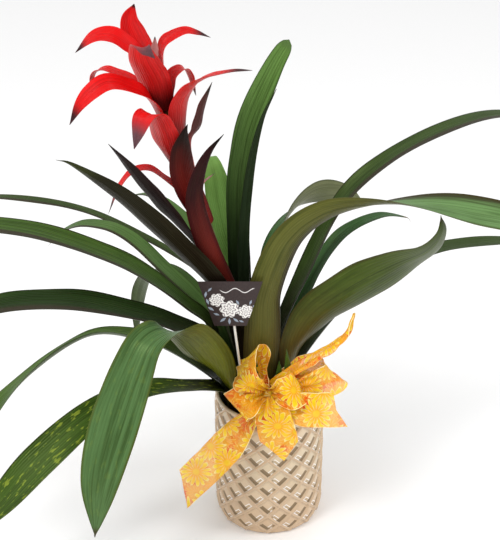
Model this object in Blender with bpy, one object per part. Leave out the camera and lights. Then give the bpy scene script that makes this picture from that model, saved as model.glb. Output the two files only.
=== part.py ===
"""Potted bromeliad: a rosette of strap leaves with a leaning red flower head, in a glazed pot
with a ribbon bow and a gift card on a stick.

The frame: origin at the centre of the pot's underside, +Z up, the side that faces the room
towards -Y. Sizes below are millimetres and angles are degrees.
"""
import math

import bmesh
import bpy
import numpy as np
from mathutils import Vector

MM = 0.001

# the pot and what fits in it
POT_RADIUS = 63.5
POT_HEIGHT = 165.0
POT_WALL = 5.5
POT_FLOOR = 7.0
POT_LIP = 2.0
FOOT_RADIUS = 55.0
FOOT_RISE = 20.0
GROWER_CLEARANCE = 1.5
GROWER_TAPER = 8.0
GROWER_WALL = 1.2
GROWER_FOOT_MARGIN = 1.0
GROWER_BELOW_RIM = 8.0
SOIL_BELOW_GROWER = 7.0
TOUCH = 0.3

# the plant: sheaths stand in round layers about a leaning stem
CROWN_X = -8.0
CROWN_Y = 0.0
STEM_RADIUS = 7.5
DRAWN_STEM_RADIUS = 7.5
STEM_NECK_TAPER = 2.5
STEM_TIP_TAPER = 5.0
ROOT_TAPER = 1.5
ROOT_DEPTH = 26.0
ROOT_CLEARANCE = 1.0
LAYER_STEP = 2.6
LEAF_THICKNESS = 1.2
SHEATH_HEIGHT = 22.0
SHEATH_FLARE = 0.8
BRACT_THICKNESS = 1.0
BRACT_CLEARANCE = 1.2

# the gift card, its stick and the bow's pick
CARD_TOP_WIDTH = 70.0
CARD_BOTTOM_WIDTH = 35.0
CARD_HEIGHT = 56.0
CARD_THICKNESS = 0.8
CARD_SHIFT = -4.0
CARD_X = -25.0
CARD_Y = -40.0
CARD_LEAN = -0.115
STICK_HEIGHT = 150.0
STICK_BEHIND_CARD = 21.0
STICK_RADIUS = 1.4
STICK_DEPTH = 60.0
PICK_RADIUS = 1.5
PICK_DEPTH = 70.0
PICK_BEHIND_KNOT = 6.0
STICK_CLEARANCE = 0.4

# the bow
RIBBON_WIDTH = 38.0
RIBBON_THICKNESS = 0.7
KNOT_RADIUS = 7.5
KNOT_LENGTH = 12.0
KNOT_X = -2.0
KNOT_INSIDE_POT = 7.5
KNOT_ABOVE_RIM = 34.0

# how finely the surfaces are divided
ROUND_STEPS = 48
ROD_SIDES = 8
STEM_SIDES = 10
BORE_SIDES = 12
BORE_OVERRUN = 1.0
STEM_RINGS = 12
LEAF_RINGS = 13
BRACT_RINGS = 9
LOOP_RINGS = 15
TAIL_RINGS = 8

GROWER_TOP = POT_HEIGHT - GROWER_BELOW_RIM
SOIL_LEVEL = GROWER_TOP - SOIL_BELOW_GROWER
GROWER_RADIUS = POT_RADIUS - POT_WALL - GROWER_CLEARANCE
STEM_GROWTH = STEM_RADIUS - DRAWN_STEM_RADIUS
UPWARD = np.array([0.0, 0.0, 1.0])
CROWN = np.array([CROWN_X, CROWN_Y, SOIL_LEVEL])
KNOT = np.array([KNOT_X, KNOT_INSIDE_POT - POT_RADIUS - STEM_GROWTH, POT_HEIGHT + KNOT_ABOVE_RIM])
CARD_FOOT = np.array([CARD_X, CARD_Y, SOIL_LEVEL])

# the flower stem's centre line above the crown
STEM_LINE = [(0, 0, 0), (-25, 2, 100), (-52, 4, 195), (-78, 5, 283), (-103, 6, 363), (-118, 8, 412)]

for old in list(bpy.data.objects):
    bpy.data.objects.remove(old, do_unlink=True)


def material(name, colour, roughness, metallic=0.0):
    """A Principled material of one colour."""
    made = bpy.data.materials.get(name)
    if made is None:
        made = bpy.data.materials.new(name)
        made.use_nodes = True
        shader = made.node_tree.nodes["Principled BSDF"]
        shader.inputs["Base Color"].default_value = (*colour, 1.0)
        shader.inputs["Roughness"].default_value = roughness
        shader.inputs["Metallic"].default_value = metallic
        made.diffuse_color = (*colour, 1.0)
    return made


GLAZE = material("cream_glaze", (0.62, 0.52, 0.38), 0.15)
BLACK_PLASTIC = material("black_plastic", (0.02, 0.02, 0.02), 0.5)
SOIL = material("potting_soil", (0.05, 0.032, 0.02), 0.95)
GREEN = material("green_leaf", (0.05, 0.14, 0.04), 0.35)
DARK_GREEN = material("dark_green_leaf", (0.02, 0.06, 0.02), 0.35)
PALE_GREEN = material("pale_green_leaf", (0.12, 0.28, 0.08), 0.4)
OLIVE = material("olive_leaf", (0.09, 0.08, 0.025), 0.35)
MAROON = material("maroon_leaf", (0.05, 0.012, 0.012), 0.35)
RED = material("red_bract", (0.65, 0.01, 0.01), 0.35)
CARD = material("plum_card", (0.07, 0.03, 0.035), 0.6)
WHITE_WOOD = material("white_stick", (0.75, 0.7, 0.6), 0.6)
RIBBON = material("yellow_ribbon", (0.9, 0.45, 0.03), 0.45)


def add_object(name, vertices, faces, surface, smooth=True):
    """A mesh object from points in millimetres, its faces turned outward."""
    mesh = bpy.data.meshes.new(name)
    mesh.from_pydata([Vector(point) * MM for point in vertices], [], faces)
    shape = bmesh.new()
    shape.from_mesh(mesh)
    bmesh.ops.remove_doubles(shape, verts=shape.verts, dist=1e-6)
    bmesh.ops.recalc_face_normals(shape, faces=shape.faces)
    shape.to_mesh(mesh)
    shape.free()
    mesh.materials.append(surface)
    if smooth:
        mesh.shade_smooth()
        mesh.set_sharp_from_angle(angle=math.radians(40))
    made = bpy.data.objects.new(name, mesh)
    bpy.context.collection.objects.link(made)
    return made


def smooth_path(points, count):
    """Evenly spaced points on the smooth curve through the given ones (Catmull-Rom)."""
    p = np.array(points, float)
    ends = np.vstack([2 * p[0] - p[1], p, 2 * p[-1] - p[-2]])
    t = np.linspace(0, 1, 24, endpoint=False)[:, None]
    runs = []
    for i in range(len(p) - 1):
        a, b, c, d = ends[i:i + 4]
        runs.append(0.5 * (2 * b + (c - a) * t + (2 * a - 5 * b + 4 * c - d) * t ** 2
                           + (3 * b - a - 3 * c + d) * t ** 3))
    fine = np.vstack([*runs, p[-1:]])
    run = np.concatenate([[0], np.cumsum(np.linalg.norm(np.diff(fine, axis=0), axis=1))])
    where = np.linspace(0, run[-1], count)
    return np.stack([np.interp(where, run, fine[:, k]) for k in range(3)], axis=1)


def along(values, count):
    """Evenly spaced values read from a short list spread over the whole length."""
    return np.interp(np.linspace(0, 1, count), np.linspace(0, 1, len(values)), values)


def unit(vectors):
    """The same vectors at length one."""
    return vectors / np.linalg.norm(vectors, axis=-1, keepdims=True)


def blade(name, path, side, widths, channel, thickness, surface, across=5, start=None):
    """A strap swept along a path: each cross-section is an arc of the given flat width and
    half-angle, hollow side up, thickened evenly and closed at both ends. A start direction
    sets how the first cross-section is tilted."""
    count = len(path)
    tangent = unit(np.gradient(path, axis=0))
    if start is not None:
        tangent[0] = start
    side = unit(side - np.sum(side * tangent, axis=1, keepdims=True) * tangent)
    up = np.cross(tangent, side)
    turn = np.linspace(-1, 1, across)[None, :] * channel[:, None]
    bend = (widths / 2 / channel)[:, None]
    over = (np.sin(turn) * bend)[..., None] * side[:, None]
    rise = ((1 - np.cos(turn)) * bend)[..., None] * up[:, None]
    middle = path[:, None] + over + rise
    normal = up[:, None] * np.cos(turn)[..., None] - side[:, None] * np.sin(turn)[..., None]
    top = middle + normal * thickness / 2
    bottom = middle - normal * thickness / 2
    rings = np.concatenate([top, bottom[:, ::-1]], axis=1)
    size = rings.shape[1]
    faces = []
    for i in range(count - 1):
        for j in range(size):
            k = (j + 1) % size
            faces.append((i * size + j, i * size + k, (i + 1) * size + k, (i + 1) * size + j))
    faces.append(tuple(range(size)))
    faces.append(tuple(range((count - 1) * size, count * size)))
    return add_object(name, rings.reshape(-1, 3), faces, surface)


def facing(heading):
    """The level direction across a leaf that heads this way; 0 is -Y and 90 is +X."""
    turn = np.radians(heading)
    return np.stack([np.cos(turn), np.sin(turn), np.zeros_like(turn)], axis=-1)


def rolled(side, path, roll):
    """The side directions turned about the path by the roll angles."""
    tangent = unit(np.gradient(path, axis=0))
    side = unit(side - np.sum(side * tangent, axis=1, keepdims=True) * tangent)
    angle = np.radians(roll)[:, None]
    return side * np.cos(angle) + np.cross(tangent, side) * np.sin(angle)


STEM = smooth_path([CROWN + point for point in STEM_LINE], 200)
STEM_RUN = np.concatenate([[0], np.cumsum(np.linalg.norm(np.diff(STEM, axis=0), axis=1))])


def stem_at(height):
    """The point of the stem's centre line at this height above the soil."""
    return np.array([np.interp(SOIL_LEVEL + height, STEM[:, 2], STEM[:, k]) for k in range(3)])


def outward(azimuth):
    """The level direction of an azimuth: 0 is -Y and 90 is +X."""
    turn = math.radians(azimuth)
    return np.array([math.sin(turn), -math.cos(turn), 0.0])


def cleared(azimuth, points):
    """A route's points from the crown, moved out if the stem is thicker than they are drawn for."""
    return [CROWN + outward(azimuth) * STEM_GROWTH + point for point in points]


def leaf(name, azimuth, layer, path, widths, surface, heading=None, roll=(0, 0), open_by=(22, 10)):
    """A leaf whose sheath stands in its layer about the stem, then follows its own path."""
    radius = STEM_RADIUS + LAYER_STEP * layer
    foot = CROWN + np.array([0, 0, TOUCH]) + outward(azimuth) * radius
    collar = stem_at(SHEATH_HEIGHT) + outward(azimuth) * (radius + SHEATH_FLARE)
    points = smooth_path([foot, collar] + cleared(azimuth, path), LEAF_RINGS)
    heading = azimuth if heading is None else heading
    headings = along((azimuth, azimuth * 0.5 + heading * 0.5, heading, heading, heading, heading),
                     LEAF_RINGS)
    side = rolled(facing(headings), points, along(roll, LEAF_RINGS))
    flat = along(widths, LEAF_RINGS)
    wrap = math.degrees(widths[0] / 2 / radius)
    channel = np.radians(along((wrap, 40, *open_by), LEAF_RINGS))
    return blade(name, points, side, flat, channel, LEAF_THICKNESS, surface, start=(0.0, 0.0, 1.0))


def bract(name, height, azimuth, path, widths, surface, heading=None, roll=(0, 0), open_by=(30, 25, 12)):
    """A bract that clasps the stem at a height and follows its own path."""
    foot = stem_at(height) + outward(azimuth) * (STEM_RADIUS + BRACT_CLEARANCE)
    points = smooth_path([foot] + cleared(azimuth, path), BRACT_RINGS)
    heading = azimuth if heading is None else heading
    side = rolled(facing(along((azimuth, heading, heading), BRACT_RINGS)), points,
                  along(roll, BRACT_RINGS))
    channel = np.radians(along((55, *open_by), BRACT_RINGS))
    return blade(name, points, side, along(widths, BRACT_RINGS), channel, BRACT_THICKNESS,
                 surface, across=3)


def turned(name, profile, steps, surface):
    """A solid of revolution about the pot's axis from (radius, height) pairs."""
    shape = bmesh.new()
    corners = [shape.verts.new((r * MM, 0, z * MM)) for r, z in profile]
    edges = [shape.edges.new(pair) for pair in zip(corners, corners[1:])]
    bmesh.ops.spin(shape, geom=corners + edges, axis=(0, 0, 1), cent=(0, 0, 0),
                   angle=2 * math.pi, steps=steps, use_merge=True)
    bmesh.ops.remove_doubles(shape, verts=shape.verts, dist=1e-6)
    bmesh.ops.recalc_face_normals(shape, faces=shape.faces)
    mesh = bpy.data.meshes.new(name)
    shape.to_mesh(mesh)
    shape.free()
    mesh.materials.append(surface)
    mesh.shade_smooth()
    mesh.set_sharp_from_angle(angle=math.radians(35))
    made = bpy.data.objects.new(name, mesh)
    bpy.context.collection.objects.link(made)
    return made


def rod(name, path, radii, sides, surface):
    """A round rod along a path with its own radius at each point and flat ends."""
    tangent = unit(np.gradient(path, axis=0))
    level = unit(np.cross(tangent, np.array([1.0, 0.0, 0.0])))
    other = np.cross(tangent, level)
    turn = np.linspace(0, 2 * np.pi, sides, endpoint=False)[None, :, None]
    rings = path[:, None] + radii[:, None, None] * (np.cos(turn) * level[:, None]
                                                    + np.sin(turn) * other[:, None])
    faces = [(i * sides + j, i * sides + (j + 1) % sides,
              (i + 1) * sides + (j + 1) % sides, (i + 1) * sides + j)
             for i in range(len(path) - 1) for j in range(sides)]
    faces.append(tuple(range(sides)))
    faces.append(tuple(range((len(path) - 1) * sides, len(path) * sides)))
    return add_object(name, rings.reshape(-1, 3), faces, surface)


def bore(target, name, path, radius):
    """A hole cut along a path, for a stick pushed into the soil."""
    cutter = rod(name, path, np.full(len(path), radius), BORE_SIDES, BLACK_PLASTIC)
    cutter.hide_render = True
    cutter.display_type = "WIRE"
    cut = target.modifiers.new(name, "BOOLEAN")
    cut.operation = "DIFFERENCE"
    cut.solver = "EXACT"
    cut.object = cutter


# ---- the glazed pot, the plastic pot that stands in it, and its soil
bore_radius = POT_RADIUS - POT_WALL
foot_curve = [(FOOT_RADIUS + (POT_RADIUS - FOOT_RADIUS) * math.sin(a),
               FOOT_RISE * (1 - math.cos(a))) for a in np.radians([0, 30, 60, 90])]
turned("pot", [(0, 0), *foot_curve, (POT_RADIUS, POT_HEIGHT - POT_LIP),
               (POT_RADIUS - POT_LIP, POT_HEIGHT), (bore_radius + POT_LIP / 2, POT_HEIGHT),
               (bore_radius, POT_HEIGHT - POT_LIP), (bore_radius, POT_FLOOR + FOOT_RISE),
               (FOOT_RADIUS - POT_WALL, POT_FLOOR), (0, POT_FLOOR)], ROUND_STEPS, GLAZE)

grower_floor = POT_FLOOR + TOUCH
grower_foot = FOOT_RADIUS - POT_WALL - GROWER_CLEARANCE - GROWER_FOOT_MARGIN
grower_shoulder = grower_floor + FOOT_RISE + GROWER_TAPER
turned("grower_pot", [(0, grower_floor), (grower_foot, grower_floor),
                      (GROWER_RADIUS, grower_shoulder),
                      (GROWER_RADIUS, GROWER_TOP), (GROWER_RADIUS - GROWER_WALL, GROWER_TOP),
                      (GROWER_RADIUS - GROWER_WALL, grower_shoulder),
                      (grower_foot - GROWER_WALL, grower_floor + GROWER_WALL),
                      (0, grower_floor + GROWER_WALL)], ROUND_STEPS, BLACK_PLASTIC)

soil_radius = GROWER_RADIUS - GROWER_WALL - TOUCH
soil_floor = grower_floor + GROWER_WALL + TOUCH
soil = turned("soil", [(0, soil_floor), (grower_foot - GROWER_WALL - 2 * TOUCH, soil_floor),
                       (soil_radius, grower_shoulder),
                       (soil_radius, SOIL_LEVEL), (0, SOIL_LEVEL)], ROUND_STEPS, SOIL)

# ---- the stem: rooted in the soil, it carries the rosette and then the flower head
root_point = CROWN - np.array([0, 0, ROOT_DEPTH])
stem_path = np.vstack([root_point, smooth_path([CROWN + point for point in STEM_LINE], STEM_RINGS)])
stem_radii = np.concatenate([[STEM_RADIUS - ROOT_TAPER],
                             np.linspace(STEM_RADIUS, STEM_RADIUS - STEM_NECK_TAPER, STEM_RINGS - 1),
                             [STEM_RADIUS - STEM_TIP_TAPER]])
rod("flower_stem", stem_path, stem_radii, STEM_SIDES, GREEN)
bore(soil, "stem_hole", np.array([root_point - UPWARD * TOUCH, CROWN + UPWARD * BORE_OVERRUN]),
     STEM_RADIUS + ROOT_CLEARANCE)

# ---- the rosette, from the outermost leaves inward
leaf("leaf_left_low", -74, 13, [(-50, -37, 42), (-81, -59, 58), (-133, -93, 75), (-183, -125, 66),
                                (-236, -160, 34), (-277, -187, -2), (-320, -214, -40)],
     (28, 28, 30, 36, 40, 34, 4), GREEN, heading=-57, roll=(0, 0, -20, -25, -10))
leaf("leaf_front_left", -52, 10, [(-46, -43, 60), (-59, -66, 101), (-78, -94, 145), (-97, -119, 169),
                                  (-117, -137, 169), (-131, -151, 148), (-153, -174, 91),
                                  (-170, -193, 30), (-178, -200, -36)],
     (28, 38, 46, 34, 40, 50, 52, 38, 3), OLIVE, heading=-44, roll=(0, -20, -35, -25, -30, -30))
leaf("leaf_left_arching", -76, 11, [(-65, -31, 62), (-102, -46, 100), (-134, -59, 122),
                                    (-187, -80, 139), (-250, -106, 106), (-308, -129, 49),
                                    (-345, -144, 0)],
     (28, 34, 38, 30, 32, 28, 4), GREEN, heading=-68, roll=(0, -6, -2, 27, 25, -10, -25))
leaf("leaf_left_mid", -102, 9.4, [(-60, -8, 83), (-102, -8, 107), (-144, -13, 125), (-215, -20, 145),
                               (-288, -28, 146), (-339, -33, 120), (-372, -38, 80)],
     (28, 32, 36, 40, 36, 28, 4), DARK_GREEN, heading=-84, roll=(0, -5, -10, -10))
leaf("leaf_left_upper", -69, 8.4, [(-56, -19, 108), (-87, -24, 144), (-125, -28, 180), (-168, -30, 208),
                                 (-249, -30, 239), (-337, -26, 245), (-390, -22, 226)],
     (24, 30, 34, 36, 34, 26, 4), GREEN, heading=-90, roll=(0, 0, -5, -10))
leaf("leaf_left_recurved", -120, 7.6, [(-55, 15, 101), (-76, 26, 121), (-110, 38, 152), (-140, 48, 180),
                                     (-162, 56, 193), (-182, 64, 196), (-208, 76, 191),
                                     (-232, 87, 175), (-250, 95, 152)],
     (18, 19, 20, 22, 20, 14, 3), PALE_GREEN, heading=-112, roll=(0, -5, -10, -10))
leaf("leaf_back_left_upper", -172, 8.8, [(-31, 48, 59), (-46, 66, 101), (-64, 84, 147), (-93, 104, 184),
                                       (-128, 122, 204), (-160, 136, 197)],
     (22, 24, 26, 24, 18, 3), PALE_GREEN, heading=-132)
leaf("leaf_left_thin", -128, 4, [(-49, 40, 124), (-82, 61, 146), (-138, 87, 168), (-199, 104, 191),
                                 (-270, 116, 202), (-348, 128, 199), (-400, 136, 181)],
     (12, 13, 13, 14, 12, 4), GREEN, heading=-106)
leaf("leaf_left_dark", -60, 2.6, [(-37, -21, 130), (-54, -28, 171), (-94, -43, 231), (-141, -56, 289),
                                (-191, -68, 334), (-209, -73, 343)],
     (26, 34, 38, 38, 30, 3), MAROON, heading=-72, roll=(0, 20, 40, 45, 45))
leaf("leaf_back_left", -149, 10.4, [(-50, 60, 58), (-86, 97, 92), (-117, 132, 96), (-137, 154, 82),
                                 (-152, 170, 40), (-160, 179, -31)],
     (24, 28, 30, 30, 24, 3), GREEN, heading=-138)
leaf("leaf_back_low", 166, 11, [(-8, 68, 56), (-11, 98, 76), (-14, 136, 70), (-16, 172, 40),
                                (-18, 196, -6)],
     (26, 30, 34, 30, 4), GREEN, heading=180)
leaf("leaf_back_pale", 186, 5.6, [(-22, 45, 85), (-31, 61, 154), (-41, 68, 188), (-54, 80, 251),
                               (-60, 92, 266), (-62, 104, 262)],
     (20, 20, 26, 28, 26, 10), PALE_GREEN, heading=190)
leaf("leaf_back_upright", 168, 3, [(-22, 32, 95), (-28, 46, 169), (-29, 54, 245), (-24, 62, 290),
                                   (-14, 68, 329), (10, 84, 379), (28, 96, 406)],
     (22, 26, 28, 28, 28, 24, 4), GREEN, heading=200)
leaf("leaf_back_upright_inner", 184, 1.4, [(-19, 18, 87), (-22, 29, 153), (-21, 37, 209),
                                           (-14, 46, 277), (-2, 54, 329), (14, 62, 363)],
     (16, 17, 15, 13, 9, 2), DARK_GREEN, heading=200)
leaf("leaf_back_right", 150, 7.4, [(8, 35, 90), (8, 38, 135), (11, 42, 177), (31, 52, 218),
                                   (58, 72, 232), (95, 104, 218), (118, 126, 194)],
     (22, 24, 26, 30, 28, 4), GREEN, heading=135)
leaf("leaf_right_rising", 105, 5, [(22, 8, 93), (49, 15, 163), (86, 27, 243), (137, 43, 289),
                                   (201, 64, 316), (261, 83, 324), (333, 107, 307)],
     (26, 28, 32, 30, 28, 24, 4), GREEN, heading=108)
leaf("leaf_right_curled", 121, 8.8, [(32, 22, 90), (47, 29, 122), (62, 38, 154), (90, 52, 192),
                                   (131, 70, 205), (163, 82, 197), (170, 84, 190)],
     (24, 26, 28, 24, 18, 3), GREEN, heading=115)
leaf("leaf_front_right", 18, 8, [(0, -32, 70), (1, -33, 122), (4, -34, 165), (26, -38, 229),
                                 (62, -44, 266), (110, -52, 282), (158, -60, 286),
                                 (213, -68, 282), (276, -79, 271), (345, -92, 238)],
     (32, 44, 44, 42, 38, 32, 42, 42, 28, 4), OLIVE, heading=80,
     roll=(0, -30, -42, -60, -60, -20, 15, 22, 20))
leaf("leaf_right_broad", 72, 10.4, [(32, -13, 48), (39, -17, 87), (57, -23, 126), (87, -33, 159),
                                 (142, -51, 208), (172, -61, 232), (184, -65, 256),
                                 (182, -64, 276)],
     (28, 38, 48, 58, 58, 34, 4), GREEN, heading=72,
     roll=(0, -8, -58, -64, -60, -40, -20))
leaf("leaf_right_low", 99, 12.4, [(46, 5, 60), (98, 15, 130), (153, 24, 165), (198, 32, 184),
                                (267, 44, 186), (314, 53, 177), (350, 59, 164)],
     (26, 26, 28, 24, 20, 4), GREEN, heading=100)

# ---- young shoots near the soil
for name, azimuth, layer, tip in [("shoot_front", -6, 12, (-8, -41, 82)),
                                  ("shoot_right", 26, 12.5, (18, -40, 81)),
                                  ("shoot_right_inner", 46, 13.5, (26, -39, 96)),
                                  ("shoot_left", -108, 12, (-58, -4, 28))]:
    foot = outward(azimuth) * (STEM_RADIUS + LAYER_STEP * layer)
    half = (foot + np.array(tip)) / 2
    leaf(name, azimuth, layer, [(half[0], half[1], tip[2] * 0.6), tip], (12, 13, 12, 2), PALE_GREEN)

# ---- the bracts, from the lowest up
bract("bract_lower_left", 182, -80, [(-85, -18, 232), (-108, -28, 269), (-130, -38, 306),
                                     (-145, -45, 331), (-158, -50, 350)],
      (18, 22, 24, 18, 3), MAROON, heading=-72, roll=(0, 30, 45, 40))
bract("bract_lower_right", 150, 14, [(-54, -22, 201), (-66, -28, 242), (-72, -33, 280),
                                     (-66, -36, 312), (-56, -38, 336), (-41, -42, 357)],
      (22, 24, 24, 21, 13, 3), MAROON, heading=20)
bract("bract_stub", 240, 140, [(-66, 17, 268), (-52, 19, 284)], (13, 13, 3), RED, heading=80)
bract("bract_upright", 232, 30, [(-80, -20, 289), (-85, -26, 326), (-82, -30, 351), (-78, -31, 363)],
      (20, 26, 26, 20, 4), MAROON, heading=30)
bract("bract_small_left", 258, -100, [(-110, -2, 291), (-125, -8, 302), (-140, -14, 299),
                                      (-153, -18, 283), (-165, -20, 254)],
      (18, 16, 14, 12, 3), RED, heading=-80)
bract("bract_front_low", 284, -30, [(-99, -13, 323), (-106, -25, 354), (-112, -37, 376),
                                    (-121, -46, 377), (-127, -50, 362), (-132, -50, 344)],
      (22, 30, 38, 34, 22, 3), RED, heading=-30)
bract("bract_twisted", 296, 110, [(-78, 14, 323), (-71, 18, 337), (-64, 24, 361), (-54, 28, 385)],
      (14, 15, 14, 10, 2), MAROON, heading=45)
bract("bract_left", 334, -60, [(-116, -20, 384), (-134, -28, 401), (-155, -36, 410),
                               (-172, -42, 403), (-185, -46, 390), (-196, -48, 370)],
      (20, 24, 26, 22, 16, 3), RED, heading=-62, roll=(0, -10, -20, -20))
bract("bract_right", 326, 60, [(-85, -8, 373), (-74, -14, 396), (-60, -20, 409), (-45, -26, 416),
                               (-29, -30, 421), (-12, -34, 423)],
      (19, 27, 27, 19, 10, 2), RED, heading=55, roll=(0, -6, 0, 10))
bract("bract_front", 364, -10, [(-113, -12, 401), (-121, -25, 428), (-123, -34, 446),
                                (-117, -42, 448), (-108, -45, 440)],
      (24, 34, 38, 34, 22, 3), RED, heading=-10)
bract("bract_back_left", 372, -120, [(-134, 24, 386), (-150, 32, 392), (-167, 38, 395),
                                     (-179, 44, 387), (-184, 48, 362)],
      (16, 16, 16, 12, 2), RED, heading=-120)
bract("bract_back_right", 366, 140, [(-96, 26, 390), (-88, 34, 397), (-80, 40, 391), (-72, 46, 362)],
      (16, 18, 18, 12, 2), RED, heading=130)
bract("bract_top_left", 392, -80, [(-127, -4, 423), (-141, -7, 441), (-157, -8, 450),
                                   (-173, -11, 448), (-190, -14, 434)],
      (16, 22, 22, 16, 3), RED, heading=-84, roll=(0, -20, -20))
bract("bract_top_right", 388, 100, [(-104, 13, 427), (-94, 17, 439), (-81, 20, 444), (-68, 23, 441),
                                    (-55, 26, 435)],
      (14, 16, 14, 10, 2), RED, heading=100, roll=(0, 15, 15))
bract("bract_top", 402, 160, [(-128, 18, 436), (-135, 16, 458), (-131, 12, 476)],
      (16, 26, 24, 3), RED, heading=160)
bract("bract_heart", 414, 60, [(-111, -2, 430), (-110, -6, 448)], (10, 12, 3), RED, heading=40)

# ---- the gift card on its stick
card_up = unit(np.array([CARD_LEAN, 0.0, 1.0]))
rod("card_stick", np.array([CARD_FOOT + card_up * run for run in (-STICK_DEPTH, 0.0, STICK_HEIGHT)]),
    np.full(3, STICK_RADIUS), ROD_SIDES, WHITE_WOOD)
bore(soil, "card_stick_hole", np.array([CARD_FOOT - card_up * (STICK_DEPTH + TOUCH),
                                        CARD_FOOT + card_up * BORE_OVERRUN]),
     STICK_RADIUS + STICK_CLEARANCE)
card_base = (CARD_FOOT + card_up * (STICK_HEIGHT - STICK_BEHIND_CARD)
             + np.array([CARD_SHIFT, -STICK_RADIUS - TOUCH, 0.0]))
corners = []
for depth in (0.0, -CARD_THICKNESS):
    for width, height in ((CARD_BOTTOM_WIDTH, 0.0), (CARD_TOP_WIDTH, CARD_HEIGHT)):
        for hand in (-0.5, 0.5):
            corners.append(card_base + np.array([hand * width, depth, height]))
add_object("card", corners, [(0, 1, 3, 2), (4, 6, 7, 5), (0, 4, 5, 1), (2, 3, 7, 6), (0, 2, 6, 4),
                             (1, 5, 7, 3)], CARD, smooth=False)

# ---- the bow on its pick: the knot, then loops and tails that leave it
pick_top = KNOT + np.array([0.0, PICK_BEHIND_KNOT, -KNOT_RADIUS - TOUCH])
pick_foot = np.array([pick_top[0], pick_top[1], SOIL_LEVEL - PICK_DEPTH])
rod("bow_pick", np.array([pick_foot, pick_top]), np.full(2, PICK_RADIUS), ROD_SIDES, WHITE_WOOD)
bore(soil, "bow_pick_hole", np.array([pick_foot - UPWARD * TOUCH, pick_top]),
     PICK_RADIUS + STICK_CLEARANCE)
knot_shape = [(-0.5, 0.6), (-0.33, 1.0), (0.33, 1.0), (0.5, 0.6)]
rod("ribbon_knot", np.array([KNOT + np.array([0.0, run * KNOT_LENGTH, 0.0]) for run, _ in knot_shape]),
    np.array([share * KNOT_RADIUS for _, share in knot_shape]), STEM_SIDES, RIBBON)


def ribbon(name, path, across, widths):
    """A strip of ribbon along a path, its width lying along the given direction."""
    side = np.tile(unit(np.array(across, float)), (len(path), 1))
    flat = np.full(len(path), math.radians(4))
    return blade(name, path, side, along(widths, len(path)), flat, RIBBON_THICKNESS, RIBBON, across=3)


def loop(name, out, across, belly):
    """A loop of ribbon: out of the knot, round and back, as wide open as its belly."""
    out = np.array(out, float)
    swell = unit(np.cross(out, np.array(across, float)))
    t = np.linspace(0.06, 0.94, LOOP_RINGS)[:, None]
    gap = KNOT_RADIUS + TOUCH
    full = RIBBON_WIDTH
    path = (KNOT + unit(out) * gap + (out - unit(out) * gap) * np.sin(np.pi * t) ** 0.9
            + swell * belly * np.sin(2 * np.pi * t))
    return ribbon(name, path, across, (full / 2, full, full, full, full / 2))


def tail(name, points, across, widths=(0.45, 1, 1, 1)):
    """A loose end of ribbon through points about the knot; the widths are shares of its own."""
    path = smooth_path([KNOT + np.array(point) for point in points], TAIL_RINGS)
    return ribbon(name, path, across, [share * RIBBON_WIDTH for share in widths])


loop("ribbon_loop_top", (-22, -1, 46), (0.6, -0.2, 0.7), 11)
loop("ribbon_loop_left", (-36, -18, -6), (0.72, -0.3, -0.62), 9)
loop("ribbon_loop_centre", (30, -17, 20), (0.5, 0.5, -0.6), 7)
loop("ribbon_loop_right", (72, 23, 13), (0.75, 0.3, -0.55), 8)
tail("ribbon_tail_front", [(1, -9, -9), (2, -21, -17), (4, -25, -32), (8, -27, -52), (12, -28, -72)],
     (0.9, -0.1, 0.3))
tail("ribbon_tail_left", [(-6, -2, -10), (-20, -9, -28), (-38, -20, -46), (-56, -30, -64),
                          (-78, -36, -86), (-97, -40, -106)], (0.7, -0.3, -0.6))
tail("ribbon_tail_right", [(9, -9, -9), (26, -19, -12), (46, -26, -12), (66, -27, -11), (86, -25, -12)],
     (-0.3, 0.4, 0.85))
tail("ribbon_tail_curled", [(2, 4, 9), (28, 12, 25), (54, 20, 37), (76, 16, 56), (88, 12, 74), (92, 10, 97)],
     (0.3, 0.9, 0.2), (0.3, 0.4, 0.3, 0.15, 0.05))
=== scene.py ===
"""A potted bromeliad dressed as a gift: a rosette of strap leaves round a leaning red flower head,
in a glazed pot with a raised diamond lattice, with a card on a stick and a printed ribbon bow.

Lengths are millimetres until a mesh is made, and angles are degrees where a name doesn't say
otherwise. +Z is up, the side that faces the room is -Y, and +X is to the right.
"""
import math

import bpy
import numpy as np
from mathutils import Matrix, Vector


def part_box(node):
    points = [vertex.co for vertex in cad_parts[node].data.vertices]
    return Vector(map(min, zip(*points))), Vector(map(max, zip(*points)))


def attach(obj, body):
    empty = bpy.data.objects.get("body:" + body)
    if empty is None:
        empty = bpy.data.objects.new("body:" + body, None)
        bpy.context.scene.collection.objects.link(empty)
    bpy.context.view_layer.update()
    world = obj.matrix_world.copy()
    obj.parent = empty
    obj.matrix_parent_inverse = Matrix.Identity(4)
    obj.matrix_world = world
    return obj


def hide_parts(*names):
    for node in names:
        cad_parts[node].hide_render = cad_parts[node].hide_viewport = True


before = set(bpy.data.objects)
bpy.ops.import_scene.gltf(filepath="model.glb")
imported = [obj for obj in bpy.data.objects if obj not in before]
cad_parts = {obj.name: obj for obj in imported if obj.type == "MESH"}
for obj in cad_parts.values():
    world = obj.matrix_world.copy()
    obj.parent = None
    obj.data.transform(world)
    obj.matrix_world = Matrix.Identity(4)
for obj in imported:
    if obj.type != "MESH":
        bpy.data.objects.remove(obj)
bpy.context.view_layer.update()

MM = 0.001

# ---------------------------------------------------------------- the camera
# It stands 1.4 m in front of the pot, a little above head height of a seated person, and looks
# down on the plant through a long lens.
CAMERA_PLACE = (-0.0224, -1.4, 1.1248)
CAMERA_PITCH = 29.76
CAMERA_LENS = 97.6

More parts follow.
